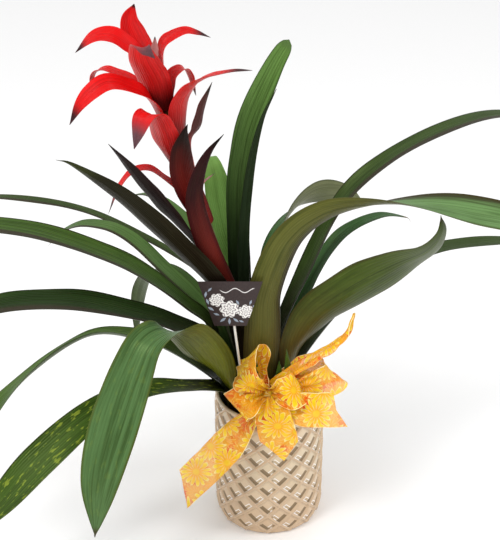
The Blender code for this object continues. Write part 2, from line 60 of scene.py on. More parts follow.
lens = bpy.data.cameras.new("camera")
lens.sensor_fit = "VERTICAL"
lens.sensor_height = 36.0
lens.lens = CAMERA_LENS
lens.clip_end = 100.0
camera = bpy.data.objects.new("camera", lens)
camera.location = CAMERA_PLACE
camera.rotation_euler = (math.radians(90 - CAMERA_PITCH), 0.0, 0.0)
bpy.context.scene.collection.objects.link(camera)
bpy.context.scene.camera = camera

# ---------------------------------------------------------------- the studio
# A wide white floor, a white room all round, one large soft light high on the left and a
# smaller one on the right.
FLOOR_HALF = 12.0
ROOM_LIGHT = 0.80
FLOOR_WHITE = (0.97, 0.97, 0.97, 1.0)


def node(tree, kind, inputs=None, **settings):
    """A shader node with its settings, whose inputs are values or other nodes' outputs."""
    made = tree.nodes.new(kind)
    for key, value in settings.items():
        setattr(made, key, value)
    for socket, value in (inputs or {}).items():
        if isinstance(value, bpy.types.NodeSocket):
            tree.links.new(value, made.inputs[socket])
        else:
            made.inputs[socket].default_value = value
    return made


def principled(name, **values):
    """A new Principled material with plain values on its sockets, its tree and its shader."""
    surface = bpy.data.materials.new(name)
    surface.use_nodes = True
    shader = surface.node_tree.nodes["Principled BSDF"]
    for socket, value in values.items():
        shader.inputs[socket.replace("_", " ")].default_value = value
    return surface, surface.node_tree, shader


floor_mesh = bpy.data.meshes.new("floor")
floor_mesh.from_pydata([(x, y, 0.0) for x, y in ((-FLOOR_HALF, -FLOOR_HALF), (FLOOR_HALF, -FLOOR_HALF),
                                                 (FLOOR_HALF, FLOOR_HALF), (-FLOOR_HALF, FLOOR_HALF))],
                       [], [(0, 1, 2, 3)])
floor_mesh.materials.append(principled("floor_white", Base_Color=FLOOR_WHITE, Roughness=0.8)[0])
floor = bpy.data.objects.new("floor", floor_mesh)
bpy.context.scene.collection.objects.link(floor)

room = bpy.data.worlds.new("room")
room.use_nodes = True
room.node_tree.nodes["Background"].inputs["Color"].default_value = (1.0, 1.0, 1.0, 1.0)
room.node_tree.nodes["Background"].inputs["Strength"].default_value = ROOM_LIGHT
bpy.context.scene.world = room
bpy.context.scene.view_settings.view_transform = "Standard"


def soft_light(name, place, aim, size, power):
    """A square area light that faces a point."""
    light = bpy.data.lights.new(name, "AREA")
    light.size = size
    light.energy = power
    lamp = bpy.data.objects.new(name, light)
    lamp.location = place
    away = np.array(place) - np.array(aim)
    lamp.rotation_euler = (math.atan2(math.hypot(away[0], away[1]), away[2]), 0.0,
                           math.atan2(away[1], away[0]) + math.pi / 2)
    bpy.context.scene.collection.objects.link(lamp)


soft_light("key_light", (-1.3, -1.2, 2.2), (0.0, 0.0, 0.3), 1.0, 36.0)
soft_light("side_light", (1.8, -0.4, 1.4), (0.0, 0.0, 0.25), 0.8, 14.0)

# ---------------------------------------------------------------- the glazed pot
# A slip-cast stoneware cover pot. The mould gives it a net of rounded ribs that cross in
# fourteen diamonds round. Dark reflections and white glints are painted into the lower
# corners of the diamonds, and painted shade darkens the ribs.
POT_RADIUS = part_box("pot")[1].x / MM
POT_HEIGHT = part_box("pot")[1].z / MM
POT_WALL = 5.5
POT_FLOOR = 7.0
POT_LIP = 2.0
FOOT_RADIUS = 55.0
FOOT_RISE = 20.0
DIAMONDS_ROUND = 14
DIAMOND_HEIGHT = 26.8
CROSSING_HEIGHT = 109.5
CROSSING_AZIMUTH = -1.9
RIB_RELIEF = 2.7
RIB_REACH = 2.1
RIB_SPACING = 19.4
RIB_SHOULDER = 0.62
RIB_FLATNESS = 2.4
CROSSING_RELIEF = 0.25
PAD_RELIEF = 0.9
PAD_EDGE = (2.2, 4.4)
POT_COLUMNS = DIAMONDS_ROUND * 30
WALL_STEP = 0.92


def smooth(values, low, high):
    """0 below low, 1 above high, and an even S-curve between them."""
    t = np.clip((values - low) / (high - low), 0.0, 1.0)
    return t * t * (3 - 2 * t)


def unit(vectors):
    """The same vectors at length one."""
    return vectors / np.maximum(np.linalg.norm(vectors, axis=-1, keepdims=True), 1e-9)


def skin(name, rings, surface, uv=None, marks=None, flat_ends=False):
    """A closed mesh over a stack of rings. Quads join each ring to the next. A fan of triangles
    to its middle closes each end, or, where the ends are flat, quads from one face of the
    strip to the other. If the volume that it encloses comes out negative, every face is turned
    round. uv holds a pair for each ring point and one more column, where the ring meets
    itself; marks are named values for each ring point."""
    rows, around = rings.shape[:2]
    points = np.concatenate([rings.reshape(-1, 3), rings[:1].mean(axis=1), rings[-1:].mean(axis=1)])
    if flat_ends:
        points = points[:-2]
    row, column = np.meshgrid(np.arange(rows - 1), np.arange(around), indexing="ij")
    turn = (column + 1) % around
    quads = np.stack([row * around + column, row * around + turn,
                      (row + 1) * around + turn, (row + 1) * around + column], axis=-1).reshape(-1, 4)
    column, turn = column[0], turn[0]
    start, end = np.full(around, rows * around), np.full(around, rows * around + 1)
    last = (rows - 1) * around
    fans = np.concatenate([np.stack([start, turn, column], axis=1),
                           np.stack([end, last + column, last + turn], axis=1)])
    near = np.arange(around // 2 - 1)
    foot_pairs = np.stack([near + 1, near, around - 1 - near, around - 2 - near], axis=1)
    if flat_ends:
        quads = np.concatenate([quads, foot_pairs, last + foot_pairs[:, ::-1]])
        fans = fans[:0]
    a, b, c, d = (points[quads[:, k]] for k in range(4))
    volume = np.sum(a * np.cross(b, c)) + np.sum(a * np.cross(c, d))
    a, b, c = (points[fans[:, k]] for k in range(3))
    volume += np.sum(a * np.cross(b, c))
    step = 1 if volume > 0 else -1
    corners = np.concatenate([quads[:, ::step].ravel(), fans[:, ::step].ravel()])
    starts = np.concatenate([np.arange(len(quads)) * 4, len(quads) * 4 + np.arange(len(fans)) * 3])
    mesh = bpy.data.meshes.new(name)
    mesh.vertices.add(len(points))
    mesh.vertices.foreach_set("co", (points * MM).astype(np.float32).ravel())
    mesh.loops.add(len(corners))
    mesh.loops.foreach_set("vertex_index", corners.astype(np.int32))
    mesh.polygons.add(len(starts))
    mesh.polygons.foreach_set("loop_start", starts.astype(np.int32))
    mesh.update(calc_edges=True)
    if uv is not None:
        grid = np.stack([uv[:-1, :-1], uv[:-1, 1:], uv[1:, 1:], uv[1:, :-1]], axis=2).reshape(-1, 4, 2)
        if flat_ends:
            foot, head = uv[0][foot_pairs], uv[-1][foot_pairs[:, ::-1]]
        else:
            foot = np.stack([uv[0].mean(axis=0) + 0 * uv[0, 1:], uv[0, 1:], uv[0, :-1]], axis=1)
            head = np.stack([uv[-1].mean(axis=0) + 0 * uv[-1, 1:], uv[-1, :-1], uv[-1, 1:]], axis=1)
        flat = [part[:, ::step].reshape(-1, 2) for part in (grid, foot, head)]
        layer = mesh.uv_layers.new(name="surface")
        layer.data.foreach_set("uv", np.concatenate(flat).astype(np.float32).ravel())
    for label, values in (marks or {}).items():
        values = values.reshape(rows * around, -1)
        values = np.concatenate([values, values[:around].mean(axis=0, keepdims=True),
                                 values[-around:].mean(axis=0, keepdims=True)])
        kind, key = ("FLOAT", "value") if values.shape[1] == 1 else ("FLOAT_VECTOR", "vector")
        mesh.attributes.new(label, kind, "POINT").data.foreach_set(key, values.astype(np.float32).ravel())
    mesh.validate()
    mesh.materials.append(surface)
    mesh.shade_smooth()
    made = bpy.data.objects.new(name, mesh)
    bpy.context.scene.collection.objects.link(made)
    return made


def stands_for(piece, slot, *nodes):
    """A finished piece rides on the object's one body, in place of CAD nodes. The slot is not used."""
    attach(piece, "root")
    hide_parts(*nodes)
    return piece


def turned(profile, columns):
    """Rings about the upright axis: each (radius, height) is carried round in equal steps of
    azimuth, 0 at -Y and growing towards +X. Also the azimuths, in radians."""
    azimuth = np.linspace(0, 2 * np.pi, columns, endpoint=False)
    radius, height = profile[:, :1], profile[:, 1:]
    return np.stack([radius * np.sin(azimuth), -radius * np.cos(azimuth),
                     height + 0 * azimuth], axis=-1), azimuth


def calc(tree, operation, *values, clamp=False):
    """A Math node's output."""
    return node(tree, "ShaderNodeMath", dict(enumerate(values)), operation=operation,
                use_clamp=clamp).outputs[0]


def between(tree, value, low, high):
    """0 where a value is at low, 1 at high, and an S-curve between them."""
    return node(tree, "ShaderNodeMapRange", {"Value": value, "From Min": low, "From Max": high},
                interpolation_type="SMOOTHSTEP").outputs["Result"]


def mixed(tree, share, first, second, blend="MIX"):
    """A colour between two, by share of the second."""
    made = node(tree, "ShaderNodeMix", {0: share, 6: first, 7: second}, data_type="RGBA",
                blend_type=blend, clamp_factor=True)
    return made.outputs[2]


def noise(tree, vector, scale, detail=3.0, roughness=0.55):
    """A Noise texture's grey value."""
    return node(tree, "ShaderNodeTexNoise", {"Vector": vector, "Scale": scale, "Detail": detail,
                                             "Roughness": roughness}).outputs["Fac"]


def paint(tree, shader, colour):
    """The shader's base colour comes from this output."""
    tree.links.new(colour, shader.inputs["Base Color"])


def emboss(tree, shader, height, distance, strength=1.0):
    """The shader's normal comes from a bump of this height; distance is in metres."""
    bump = node(tree, "ShaderNodeBump", {"Height": height, "Distance": distance, "Strength": strength})
    tree.links.new(bump.outputs[0], shader.inputs["Normal"])


def object_place(tree):
    """The place on the object, in metres."""
    return node(tree, "ShaderNodeTexCoord").outputs["Object"]


inside = POT_RADIUS - POT_WALL
foot_bow = np.radians(np.linspace(0, 90, 26))[1:]
outer = np.array([(r, 0.0) for r in np.linspace(1.0, FOOT_RADIUS, 8)]
                 + [(FOOT_RADIUS + (POT_RADIUS - FOOT_RADIUS) * math.sin(a),
                     FOOT_RISE * (1 - math.cos(a))) for a in foot_bow]
                 + [(POT_RADIUS, z)
                    for z in np.arange(FOOT_RISE + WALL_STEP, POT_HEIGHT - POT_LIP, WALL_STEP)])
lip_turn = np.radians(np.linspace(0, 180, 9))
lip_half = (POT_WALL - POT_LIP / 2) / 2
lip = np.array([(POT_RADIUS - POT_LIP / 2 - lip_half + lip_half * math.cos(a),
                 POT_HEIGHT - POT_LIP + POT_LIP * math.sin(a)) for a in lip_turn])
inner = np.array([(inside, POT_HEIGHT - 2 * POT_LIP), (inside, POT_FLOOR + FOOT_RISE),
                  (FOOT_RADIUS - POT_WALL, POT_FLOOR), (1.0, POT_FLOOR)])
pot_rings, pot_azimuth = turned(np.concatenate([outer, lip, inner]), POT_COLUMNS)
way = np.gradient(outer, axis=0)
facing_out = np.stack([way[:, 1], -way[:, 0]], axis=1) / np.linalg.norm(way, axis=1)[:, None]
count = len(outer)
lap = DIAMONDS_ROUND * (pot_azimuth / (2 * np.pi) - CROSSING_AZIMUTH / 360)
climb = (pot_rings[:, :1, 2] - CROSSING_HEIGHT) / DIAMOND_HEIGHT
rib_one = np.abs(lap + climb - np.round(lap + climb)) * RIB_SPACING
rib_two = np.abs(lap - climb - np.round(lap - climb)) * RIB_SPACING
nearest = np.minimum(rib_one, rib_two)
rib = np.exp(-(nearest / (RIB_SHOULDER * RIB_REACH)) ** RIB_FLATNESS)
crossing = np.exp(-((rib_one ** 2 + rib_two ** 2) / RIB_REACH ** 2))
pad = smooth(nearest, *PAD_EDGE)
relief = RIB_RELIEF * rib + CROSSING_RELIEF * crossing + PAD_RELIEF * pad
height = pot_rings[:, :1, 2]
fade = smooth(height, 0.2, 4.0) * (1 - smooth(height, POT_HEIGHT - 4.5, POT_HEIGHT - 1.5))
sink = RIB_RELIEF * smooth(height, 0.0, 6.0) * (1 - smooth(height, POT_HEIGHT - 4.0, POT_HEIGHT - 1.0))
push = (relief * fade - sink)[:count]
outward_way = np.stack([facing_out[:, :1] * np.sin(pot_azimuth), -facing_out[:, :1] * np.cos(pot_azimuth),
                        facing_out[:, 1:] + 0 * pot_azimuth], axis=-1)
pot_rings[:count] += outward_way * push[..., None]
wrap = np.append(lap, lap[0] + DIAMONDS_ROUND)
lattice = np.stack([wrap + climb, wrap - climb], axis=-1)

glaze, tree, shader = principled("cream_glaze", Roughness=0.12, Coat_Weight=0.35, Coat_Roughness=0.05)
place = object_place(tree)
where = node(tree, "ShaderNodeSeparateXYZ", {0: node(tree, "ShaderNodeUVMap", uv_map="surface").outputs[0]})
rising = calc(tree, "FRACT", where.outputs[0])
falling = calc(tree, "FRACT", calc(tree, "SUBTRACT", 1.0, calc(tree, "FRACT", where.outputs[1])))
level = node(tree, "ShaderNodeSeparateXYZ", {0: place})
cloudy = noise(tree, place, 28.0)
specks = noise(tree, place, 900.0, detail=1.0)
toward = between(tree, cloudy, 0.35, 0.65)
cream = mixed(tree, toward, (0.62, 0.50, 0.335, 1.0), (0.70, 0.56, 0.385, 1.0))
tan = mixed(tree, between(tree, level.outputs[2], 0.11, 0.0), cream, (0.60, 0.42, 0.26, 1.0))
# Painted shade: the raised ribs are coloured a darker tan than the cream between them.
near_rib = calc(tree, "MINIMUM", calc(tree, "MINIMUM", rising, calc(tree, "SUBTRACT", 1.0, rising)),
                calc(tree, "MINIMUM", falling, calc(tree, "SUBTRACT", 1.0, falling)))
ribbed = mixed(tree, between(tree, near_rib, 0.10, 0.02), tan, (0.60, 0.425, 0.27, 1.0))


def painted_reflection_arm(tree, first, second, margin):
    """One arm of a painted dark reflection along a lower side of a diamond: first is the share of
    the way up from that side and second the share of the way along it from the bottom corner.
    A margin draws the arm in on all sides."""
    band = calc(tree, "MULTIPLY", between(tree, first, 0.07 + margin, 0.11 + margin),
                between(tree, first, 0.38 - margin, 0.34 - margin))
    stretch = calc(tree, "MULTIPLY", between(tree, second, 0.08 + margin, 0.12 + margin),
                   between(tree, second, 0.80 - margin, 0.74 - margin))
    return calc(tree, "MULTIPLY", band, stretch)


# The painted reflections and glints are mirrored between the pot's left and right halves, as reflections seen
# from the front would be.
right_half = between(tree, level.outputs[0], 0.002, 0.006)
left_arm, left_core = painted_reflection_arm(tree, rising, falling, 0.0), painted_reflection_arm(tree, rising, falling, 0.05)
right_arm, right_core = painted_reflection_arm(tree, falling, rising, 0.0), painted_reflection_arm(tree, falling, rising, 0.05)


def chosen(first, second):
    """The first on the pot's left half and the second on its right half."""
    return calc(tree, "ADD", calc(tree, "MULTIPLY", first, calc(tree, "SUBTRACT", 1.0, right_half)),
                calc(tree, "MULTIPLY", second, right_half))


# Painted light: a painted dark reflection fills one lower arm of each diamond; the other arm gets a darker
# painted core and a painted white glint round it.
painted_dark_reflection = chosen(left_arm, right_arm)
painted_reflection_core = chosen(right_core, left_core)
painted_glint = calc(tree, "SUBTRACT", chosen(right_arm, left_arm), calc(tree, "ADD", painted_reflection_core, painted_dark_reflection), clamp=True)
on_wall = calc(tree, "MULTIPLY", between(tree, level.outputs[2], 0.004, 0.008),
               between(tree, level.outputs[2], 0.1615, 0.159))
painted_dark_reflection = calc(tree, "MULTIPLY", painted_dark_reflection, on_wall)
painted_glint = calc(tree, "MULTIPLY", painted_glint, on_wall)
# The painted reflection core, the painted white glint and the painted dark reflection go onto the glaze
# colour here.
coloured = mixed(tree, calc(tree, "MULTIPLY", painted_reflection_core, 0.45), ribbed, (0.33, 0.22, 0.11, 1.0))
coloured = mixed(tree, calc(tree, "MULTIPLY", painted_glint, 0.8), coloured, (0.98, 0.97, 0.95, 1.0))
coloured = mixed(tree, calc(tree, "MULTIPLY", painted_dark_reflection, 0.95), coloured, (0.19, 0.12, 0.05, 1.0))
coloured = mixed(tree, calc(tree, "MULTIPLY", between(tree, specks, 0.62, 0.72), 0.25), coloured,
                 (0.38, 0.25, 0.13, 1.0))
paint(tree, shader, coloured)
ripple = calc(tree, "ADD", calc(tree, "MULTIPLY", noise(tree, place, 120.0), 0.7),
              calc(tree, "MULTIPLY", painted_dark_reflection, -0.5))
emboss(tree, shader, ripple, 0.0006, strength=0.25)
stands_for(skin("glazed_pot", pot_rings, glaze, uv=lattice), "cream_glaze", "pot")

# ---------------------------------------------------------------- the growing pot and its mix
# Inside stands the thin black plastic pot that the plant was raised in, filled with a mix of
# peat and chopped bark. The plant, the card's stick and the bow's pick are rooted in it.
SOIL_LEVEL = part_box("soil")[1].z / MM
GROWER_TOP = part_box("grower_pot")[1].z / MM
GROWER_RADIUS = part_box("grower_pot")[1].x / MM
GROWER_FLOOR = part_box("grower_pot")[0].z / MM
GROWER_WALL = 1.2
GROWER_FOOT = 47.0
GROWER_SHOULDER = 35.3
MIX_GAP = 0.3
BARK_CHIPS = 150

black, tree, shader = principled("black_plastic", Base_Color=(0.018, 0.018, 0.018, 1.0))
place = object_place(tree)
scuff = noise(tree, place, 90.0)
tree.links.new(node(tree, "ShaderNodeMapRange", {"Value": scuff, "To Min": 0.35, "To Max": 0.6}).outputs[0],
               shader.inputs["Roughness"])
paint(tree, shader, mixed(tree, between(tree, scuff, 0.45, 0.75), (0.014, 0.014, 0.014, 1.0),
                          (0.05, 0.045, 0.04, 1.0)))
grower_inside = GROWER_RADIUS - GROWER_WALL
grower_base = GROWER_FLOOR + GROWER_WALL
grower = np.array([(1.0, GROWER_FLOOR), (GROWER_FOOT, GROWER_FLOOR), (GROWER_RADIUS, GROWER_SHOULDER),
                   (GROWER_RADIUS, GROWER_TOP), (grower_inside, GROWER_TOP),
                   (grower_inside, GROWER_SHOULDER), (GROWER_FOOT - GROWER_WALL, grower_base),
                   (1.0, grower_base)])
grower_piece = skin("growing_pot", turned(grower, 96)[0], black)
grower_piece.data.set_sharp_from_angle(angle=math.radians(35))
stands_for(grower_piece, "black_plastic", "grower_pot")

mix, tree, shader = principled("potting_mix", Roughness=0.95)
place = object_place(tree)
crumbs = node(tree, "ShaderNodeTexVoronoi", {"Vector": place, "Scale": 330.0})
shade = mixed(tree, crumbs.outputs["Color"], (0.012, 0.008, 0.005, 1.0), (0.085, 0.05, 0.028, 1.0))
paint(tree, shader, mixed(tree, between(tree, noise(tree, place, 60.0), 0.4, 0.7), shade,
                          (0.10, 0.065, 0.035, 1.0)))
emboss(tree, shader, calc(tree, "ADD", crumbs.outputs["Distance"], noise(tree, place, 500.0)), 0.0015)
mix_radius = grower_inside - MIX_GAP
mix_profile = np.concatenate([[(1.0, grower_base + MIX_GAP),
                               (GROWER_FOOT - GROWER_WALL - 2 * MIX_GAP, grower_base + MIX_GAP),
                               (mix_radius, GROWER_SHOULDER), (mix_radius, SOIL_LEVEL - 3.0)],
                              [(r, SOIL_LEVEL - 1.0) for r in np.linspace(mix_radius, 1.0, 46)]])
mix_rings = turned(mix_profile, 140)[0]
lumps = np.random.default_rng(5).uniform(-1.0, 1.0, (45, 4))
top = mix_rings[4:]
heave = sum(0.09 * np.sin(0.05 * a * 4 * top[..., 0] + 0.05 * b * 4 * top[..., 1] * (1 + c) + 6 * d)
            for a, b, c, d in lumps)
mix_rings[4:, :, 2] += np.clip(heave, -1.6, 1.0)
stands_for(skin("potting_mix", mix_rings, mix), "potting_soil", "soil")

bark, tree, shader = principled("chopped_bark", Roughness=0.85)
place = object_place(tree)
paint(tree, shader, mixed(tree, noise(tree, place, 140.0), (0.03, 0.016, 0.008, 1.0),
                          (0.16, 0.085, 0.04, 1.0)))
emboss(tree, shader, noise(tree, place, 700.0), 0.0008)
random = np.random.default_rng(11)
chips = []
for _ in range(BARK_CHIPS):
    reach = (mix_radius - 6.0) * math.sqrt(random.uniform(0.02, 1.0))
    spot, spin = random.uniform(0, 2 * math.pi, 2)
    long, wide, thick = random.uniform(3.0, 7.5), random.uniform(1.6, 3.6), random.uniform(0.7, 1.4)
    run = np.linspace(-1, 1, 5)[:, None]
    ring = np.linspace(0, 2 * np.pi, 6, endpoint=False)[None, :]
    swell = (1 - 0.75 * run ** 4) * random.uniform(0.75, 1.15, (5, 6))
    body = np.stack([run * long / 2 + 0 * ring, swell * np.cos(ring) * wide / 2,
                     swell * np.sin(ring) * thick / 2], axis=-1)
    tilt = random.uniform(-0.35, 0.35)
    x, y, z = body[..., 0], body[..., 1], body[..., 2]
    x, z = x * math.cos(tilt) - z * math.sin(tilt), x * math.sin(tilt) + z * math.cos(tilt)
    chips.append(np.stack([x * math.cos(spin) - y * math.sin(spin) + reach * math.cos(spot),
                           x * math.sin(spin) + y * math.cos(spin) + reach * math.sin(spot),
                           z + SOIL_LEVEL + random.uniform(-0.9, 0.3)], axis=-1))


def heap(name, stacks, surface):
    """Many small closed shapes of one kind joined into one piece."""
    parts = [skin(f"{name}_{k}", rings, surface) for k, rings in enumerate(stacks)]
    points, faces, shift = [], [], 0
    for part in parts:
        flat = np.zeros(len(part.data.vertices) * 3, np.float32)
        part.data.vertices.foreach_get("co", flat)
        points.append(flat.reshape(-1, 3))
        faces += [tuple(index + shift for index in polygon.vertices) for polygon in part.data.polygons]
        shift += len(part.data.vertices)
        bpy.data.objects.remove(part)
    mesh = bpy.data.meshes.new(name)
    mesh.from_pydata(np.concatenate(points), [], faces)
    mesh.materials.append(surface)
    mesh.shade_smooth()
    made = bpy.data.objects.new(name, mesh)
    bpy.context.scene.collection.objects.link(made)
    return made


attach(heap("bark_chips", chips, bark), "root")

# ---------------------------------------------------------------- the flower stem
# A fleshy green stem, rooted in the mix, that leans to the left and carries the flower head.
# Sheaths and bracts wrap it nearly all the way.
CROWN = np.array([-8.0, 0.0, SOIL_LEVEL])
STEM_LINE = [(0, 0, 0), (-25, 2, 100), (-52, 4, 195), (-78, 5, 283), (-103, 6, 363), (-118, 8, 412)]
STEM_RADIUS = 7.5
STEM_NECK_RADIUS = 5.0
STEM_TIP_RADIUS = 2.5
ROOT_RADIUS = 6.0
ROOT_DEPTH = 26.0


def smooth_path(points, count):
    """Evenly spaced points on the smooth curve through the given ones. Between two points it
    is the cubic whose slope at each is half the way from its last neighbour to its next."""
    p = np.array(points, float)
    ends = np.vstack([2 * p[0] - p[1], p, 2 * p[-1] - p[-2]])
    t = np.linspace(0, 1, 24, endpoint=False)[:, None]
    runs = []
    for i in range(len(p) - 1):
        a, b, c, d = ends[i:i + 4]
        runs.append(0.5 * (2 * b + (c - a) * t + (2 * a - 5 * b + 4 * c - d) * t ** 2
                           + (3 * b - a - 3 * c + d) * t ** 3))
    fine = np.vstack([*runs, p[-1:]])
    run = np.concatenate([[0], np.cumsum(np.linalg.norm(np.diff(fine, axis=0), axis=1))])
    where = np.linspace(0, run[-1], count)
    return np.stack([np.interp(where, run, fine[:, k]) for k in range(p.shape[1])], axis=1)


def along(values, count):
    """A short list spread evenly over the whole length and read as a smooth curve."""
    knots = np.stack([np.linspace(0, 1, len(values)), values], axis=1)
    fine = smooth_path(knots * (1000.0, 1.0), 12 * len(values))
    return np.interp(np.linspace(0, 1000.0, count), fine[:, 0], fine[:, 1])


def tube(path, radii, sides):
    """Rings of the given radius at each point of a path, square to it."""
    tangent = unit(np.gradient(path, axis=0))
    level = unit(np.cross(tangent, np.array([1.0, 0.0, 0.0])))
    other = np.cross(tangent, level)
    turn = np.linspace(0, 2 * np.pi, sides, endpoint=False)[None, :, None]
    around = np.cos(turn) * level[:, None] + np.sin(turn) * other[:, None]
    return path[:, None] + radii[:, None, None] * around


stem_green, tree, shader = principled("stem_green", Roughness=0.4)
place = object_place(tree)
stretched = node(tree, "ShaderNodeMapping", {"Vector": place, "Scale": (1.0, 1.0, 0.12)}).outputs[0]
paint(tree, shader, mixed(tree, noise(tree, stretched, 260.0), (0.05, 0.085, 0.02, 1.0),
                          (0.13, 0.17, 0.05, 1.0)))
emboss(tree, shader, noise(tree, stretched, 500.0), 0.0005)
STEM = smooth_path([CROWN + point for point in STEM_LINE], 200)
stem_path = np.vstack([CROWN - np.array([0, 0, ROOT_DEPTH]), STEM[::4], STEM[-1:]])
stem_radii = np.concatenate([[ROOT_RADIUS], np.linspace(STEM_RADIUS, STEM_NECK_RADIUS, len(stem_path) - 2),
                             [STEM_TIP_RADIUS]])
stands_for(skin("stem", tube(stem_path, stem_radii, 20), stem_green), "green_leaf", "flower_stem")

# ---------------------------------------------------------------- the strap leaves
# Smooth leathery straps whose sheaths stand round the stem in layers. They are channelled at
# the foot and open out as they arch over; the skin is ribbed along, glossy, and stained
# maroon or brown towards the foot.
LAYER_STEP = 2.6
SHEATH_HEIGHT = 22.0
SHEATH_FLARE = 0.8
FOOT_LIFT = 0.3
LEAF_THICKNESS = 1.2
LEAF_RINGS = 109
LEAF_ACROSS = 19
FLECK_YELLOW = (0.26, 0.32, 0.03, 1.0)
BAND_BROWN = (0.030, 0.020, 0.012, 1.0)


def effect(name, inputs, outputs):
    """An empty shader node group: its tree, its input node and its output node."""
    made = bpy.data.node_groups.new(name, "ShaderNodeTree")
    for label, kind in inputs:
        made.interface.new_socket(label, in_out="INPUT", socket_type=kind)
    for label, kind in outputs:
        made.interface.new_socket(label, in_out="OUTPUT", socket_type=kind)
    return made, made.nodes.new("NodeGroupInput"), made.nodes.new("NodeGroupOutput")


# The growth group: colours run along a blade from foot to tip, with ribs, long streaks, cloudy
# patches, dark flanks at the foot, a brown band down one side, a dark margin and yellow flecks.
# It reads the blade's own marks; the sign of Band picks its side.
growth, given, result = effect("growth", [
    ("Upper", "NodeSocketColor"), ("Lower", "NodeSocketColor"), ("Foot", "NodeSocketColor"),
    ("Tip", "NodeSocketColor"), ("Foot Reach", "NodeSocketFloat"), ("Tip Reach", "NodeSocketFloat"),
    ("Streaks", "NodeSocketFloat"), ("Flecks", "NodeSocketFloat"), ("Margin", "NodeSocketFloat"),
    ("Seed", "NodeSocketFloat"), ("Band", "NodeSocketFloat")],
    [("Colour", "NodeSocketColor"), ("Roughness", "NodeSocketFloat"), ("Height", "NodeSocketFloat")])
mark = node(growth, "ShaderNodeSeparateXYZ",
            {0: node(growth, "ShaderNodeAttribute", attribute_name="grain").outputs["Vector"]})
side, run, share = mark.outputs
under = node(growth, "ShaderNodeAttribute", attribute_name="under").outputs["Fac"]


def on_blade(side_scale, run_scale, offset):
    """The blade's own coordinates, stretched to set how long and how fine a pattern is."""
    return node(growth, "ShaderNodeCombineXYZ", {
        0: calc(growth, "MULTIPLY_ADD", side, side_scale, given.outputs["Seed"]),
        1: calc(growth, "MULTIPLY", run, run_scale), 2: offset}).outputs[0]


streak = noise(growth, on_blade(6.0, 7.0, 3.0), 1.0, detail=4.0, roughness=0.6)
fine = noise(growth, on_blade(26.0, 16.0, 7.0), 1.0, detail=3.0, roughness=0.7)
patch = noise(growth, on_blade(1.3, 13.0, 11.0), 1.0, detail=2.0)
spot = noise(growth, on_blade(5.0, 70.0, 17.0), 1.0, detail=2.5, roughness=0.6)
face = mixed(growth, under, given.outputs["Upper"], given.outputs["Lower"])
deep = mixed(growth, 1.0, face, (0.34, 0.38, 0.26, 1.0), blend="MULTIPLY")
pale = mixed(growth, 0.24, face, (0.50, 0.58, 0.22, 1.0))
worn = mixed(growth, calc(growth, "MULTIPLY", between(growth, streak, 0.42, 0.68), given.outputs["Streaks"]),
             face, deep)
worn = mixed(growth, calc(growth, "MULTIPLY", calc(growth, "MULTIPLY", between(growth, fine, 0.55, 0.75),
                                                   given.outputs["Streaks"]), 0.55), worn, pale)
worn = mixed(growth, calc(growth, "MULTIPLY", between(growth, patch, 0.45, 0.7), 0.35), worn, deep)
reach = calc(growth, "ADD", share, calc(growth, "MULTIPLY", calc(growth, "SUBTRACT", patch, 0.5), 0.25))
banded = calc(growth, "ADD", calc(growth, "MULTIPLY", side, given.outputs["Band"]),
              calc(growth, "MULTIPLY_ADD", streak, 0.3, -0.15))
worn = mixed(growth, between(growth, banded, 0.18, 0.42), worn, BAND_BROWN)
footed = between(growth, calc(growth, "DIVIDE", reach, given.outputs["Foot Reach"]), 1.0, 0.25)
streaked_side = calc(growth, "ADD", calc(growth, "ABSOLUTE", side),
                     calc(growth, "MULTIPLY_ADD", streak, 0.5, -0.25))
flank = calc(growth, "MULTIPLY", between(growth, streaked_side, 0.35, 0.95), 0.75)
foot_colour = mixed(growth, flank, given.outputs["Foot"],
                    mixed(growth, 1.0, given.outputs["Foot"], (0.30, 0.22, 0.55, 1.0), blend="MULTIPLY"))
worn = mixed(growth, footed, worn, foot_colour)
far = calc(growth, "ADD", calc(growth, "SUBTRACT", 1.0, share),
           calc(growth, "MULTIPLY", calc(growth, "SUBTRACT", streak, 0.5), 0.06))
tipped = between(growth, calc(growth, "DIVIDE", far, given.outputs["Tip Reach"]), 1.0, 0.35)
worn = mixed(growth, tipped, worn, given.outputs["Tip"])
flecked = calc(growth, "MULTIPLY", between(growth, spot, 0.56, 0.64), given.outputs["Flecks"])
worn = mixed(growth, flecked, worn, FLECK_YELLOW)
edge = calc(growth, "ABSOLUTE", side)
worn = mixed(growth, calc(growth, "MULTIPLY", between(growth, edge, 0.86, 0.99), given.outputs["Margin"]),
             worn, mixed(growth, 1.0, given.outputs["Foot"], (0.55, 0.5, 0.5, 1.0), blend="MULTIPLY"))
rib_wave = calc(growth, "SINE", calc(growth, "MULTIPLY", side, 46.0))
worn = mixed(growth, calc(growth, "MULTIPLY", between(growth, rib_wave, 0.2, 0.95), 0.22), worn,
             mixed(growth, 1.0, worn, (0.45, 0.5, 0.4, 1.0), blend="MULTIPLY"))
ribs = calc(growth, "ADD", calc(growth, "MULTIPLY", rib_wave, -0.3), calc(growth, "MULTIPLY", streak, 0.5))
growth.links.new(worn, result.inputs["Colour"])
growth.links.new(calc(growth, "MULTIPLY_ADD", fine, 0.22, 0.20), result.inputs["Roughness"])
growth.links.new(calc(growth, "ADD", ribs, calc(growth, "MULTIPLY", fine, 0.35)), result.inputs["Height"])


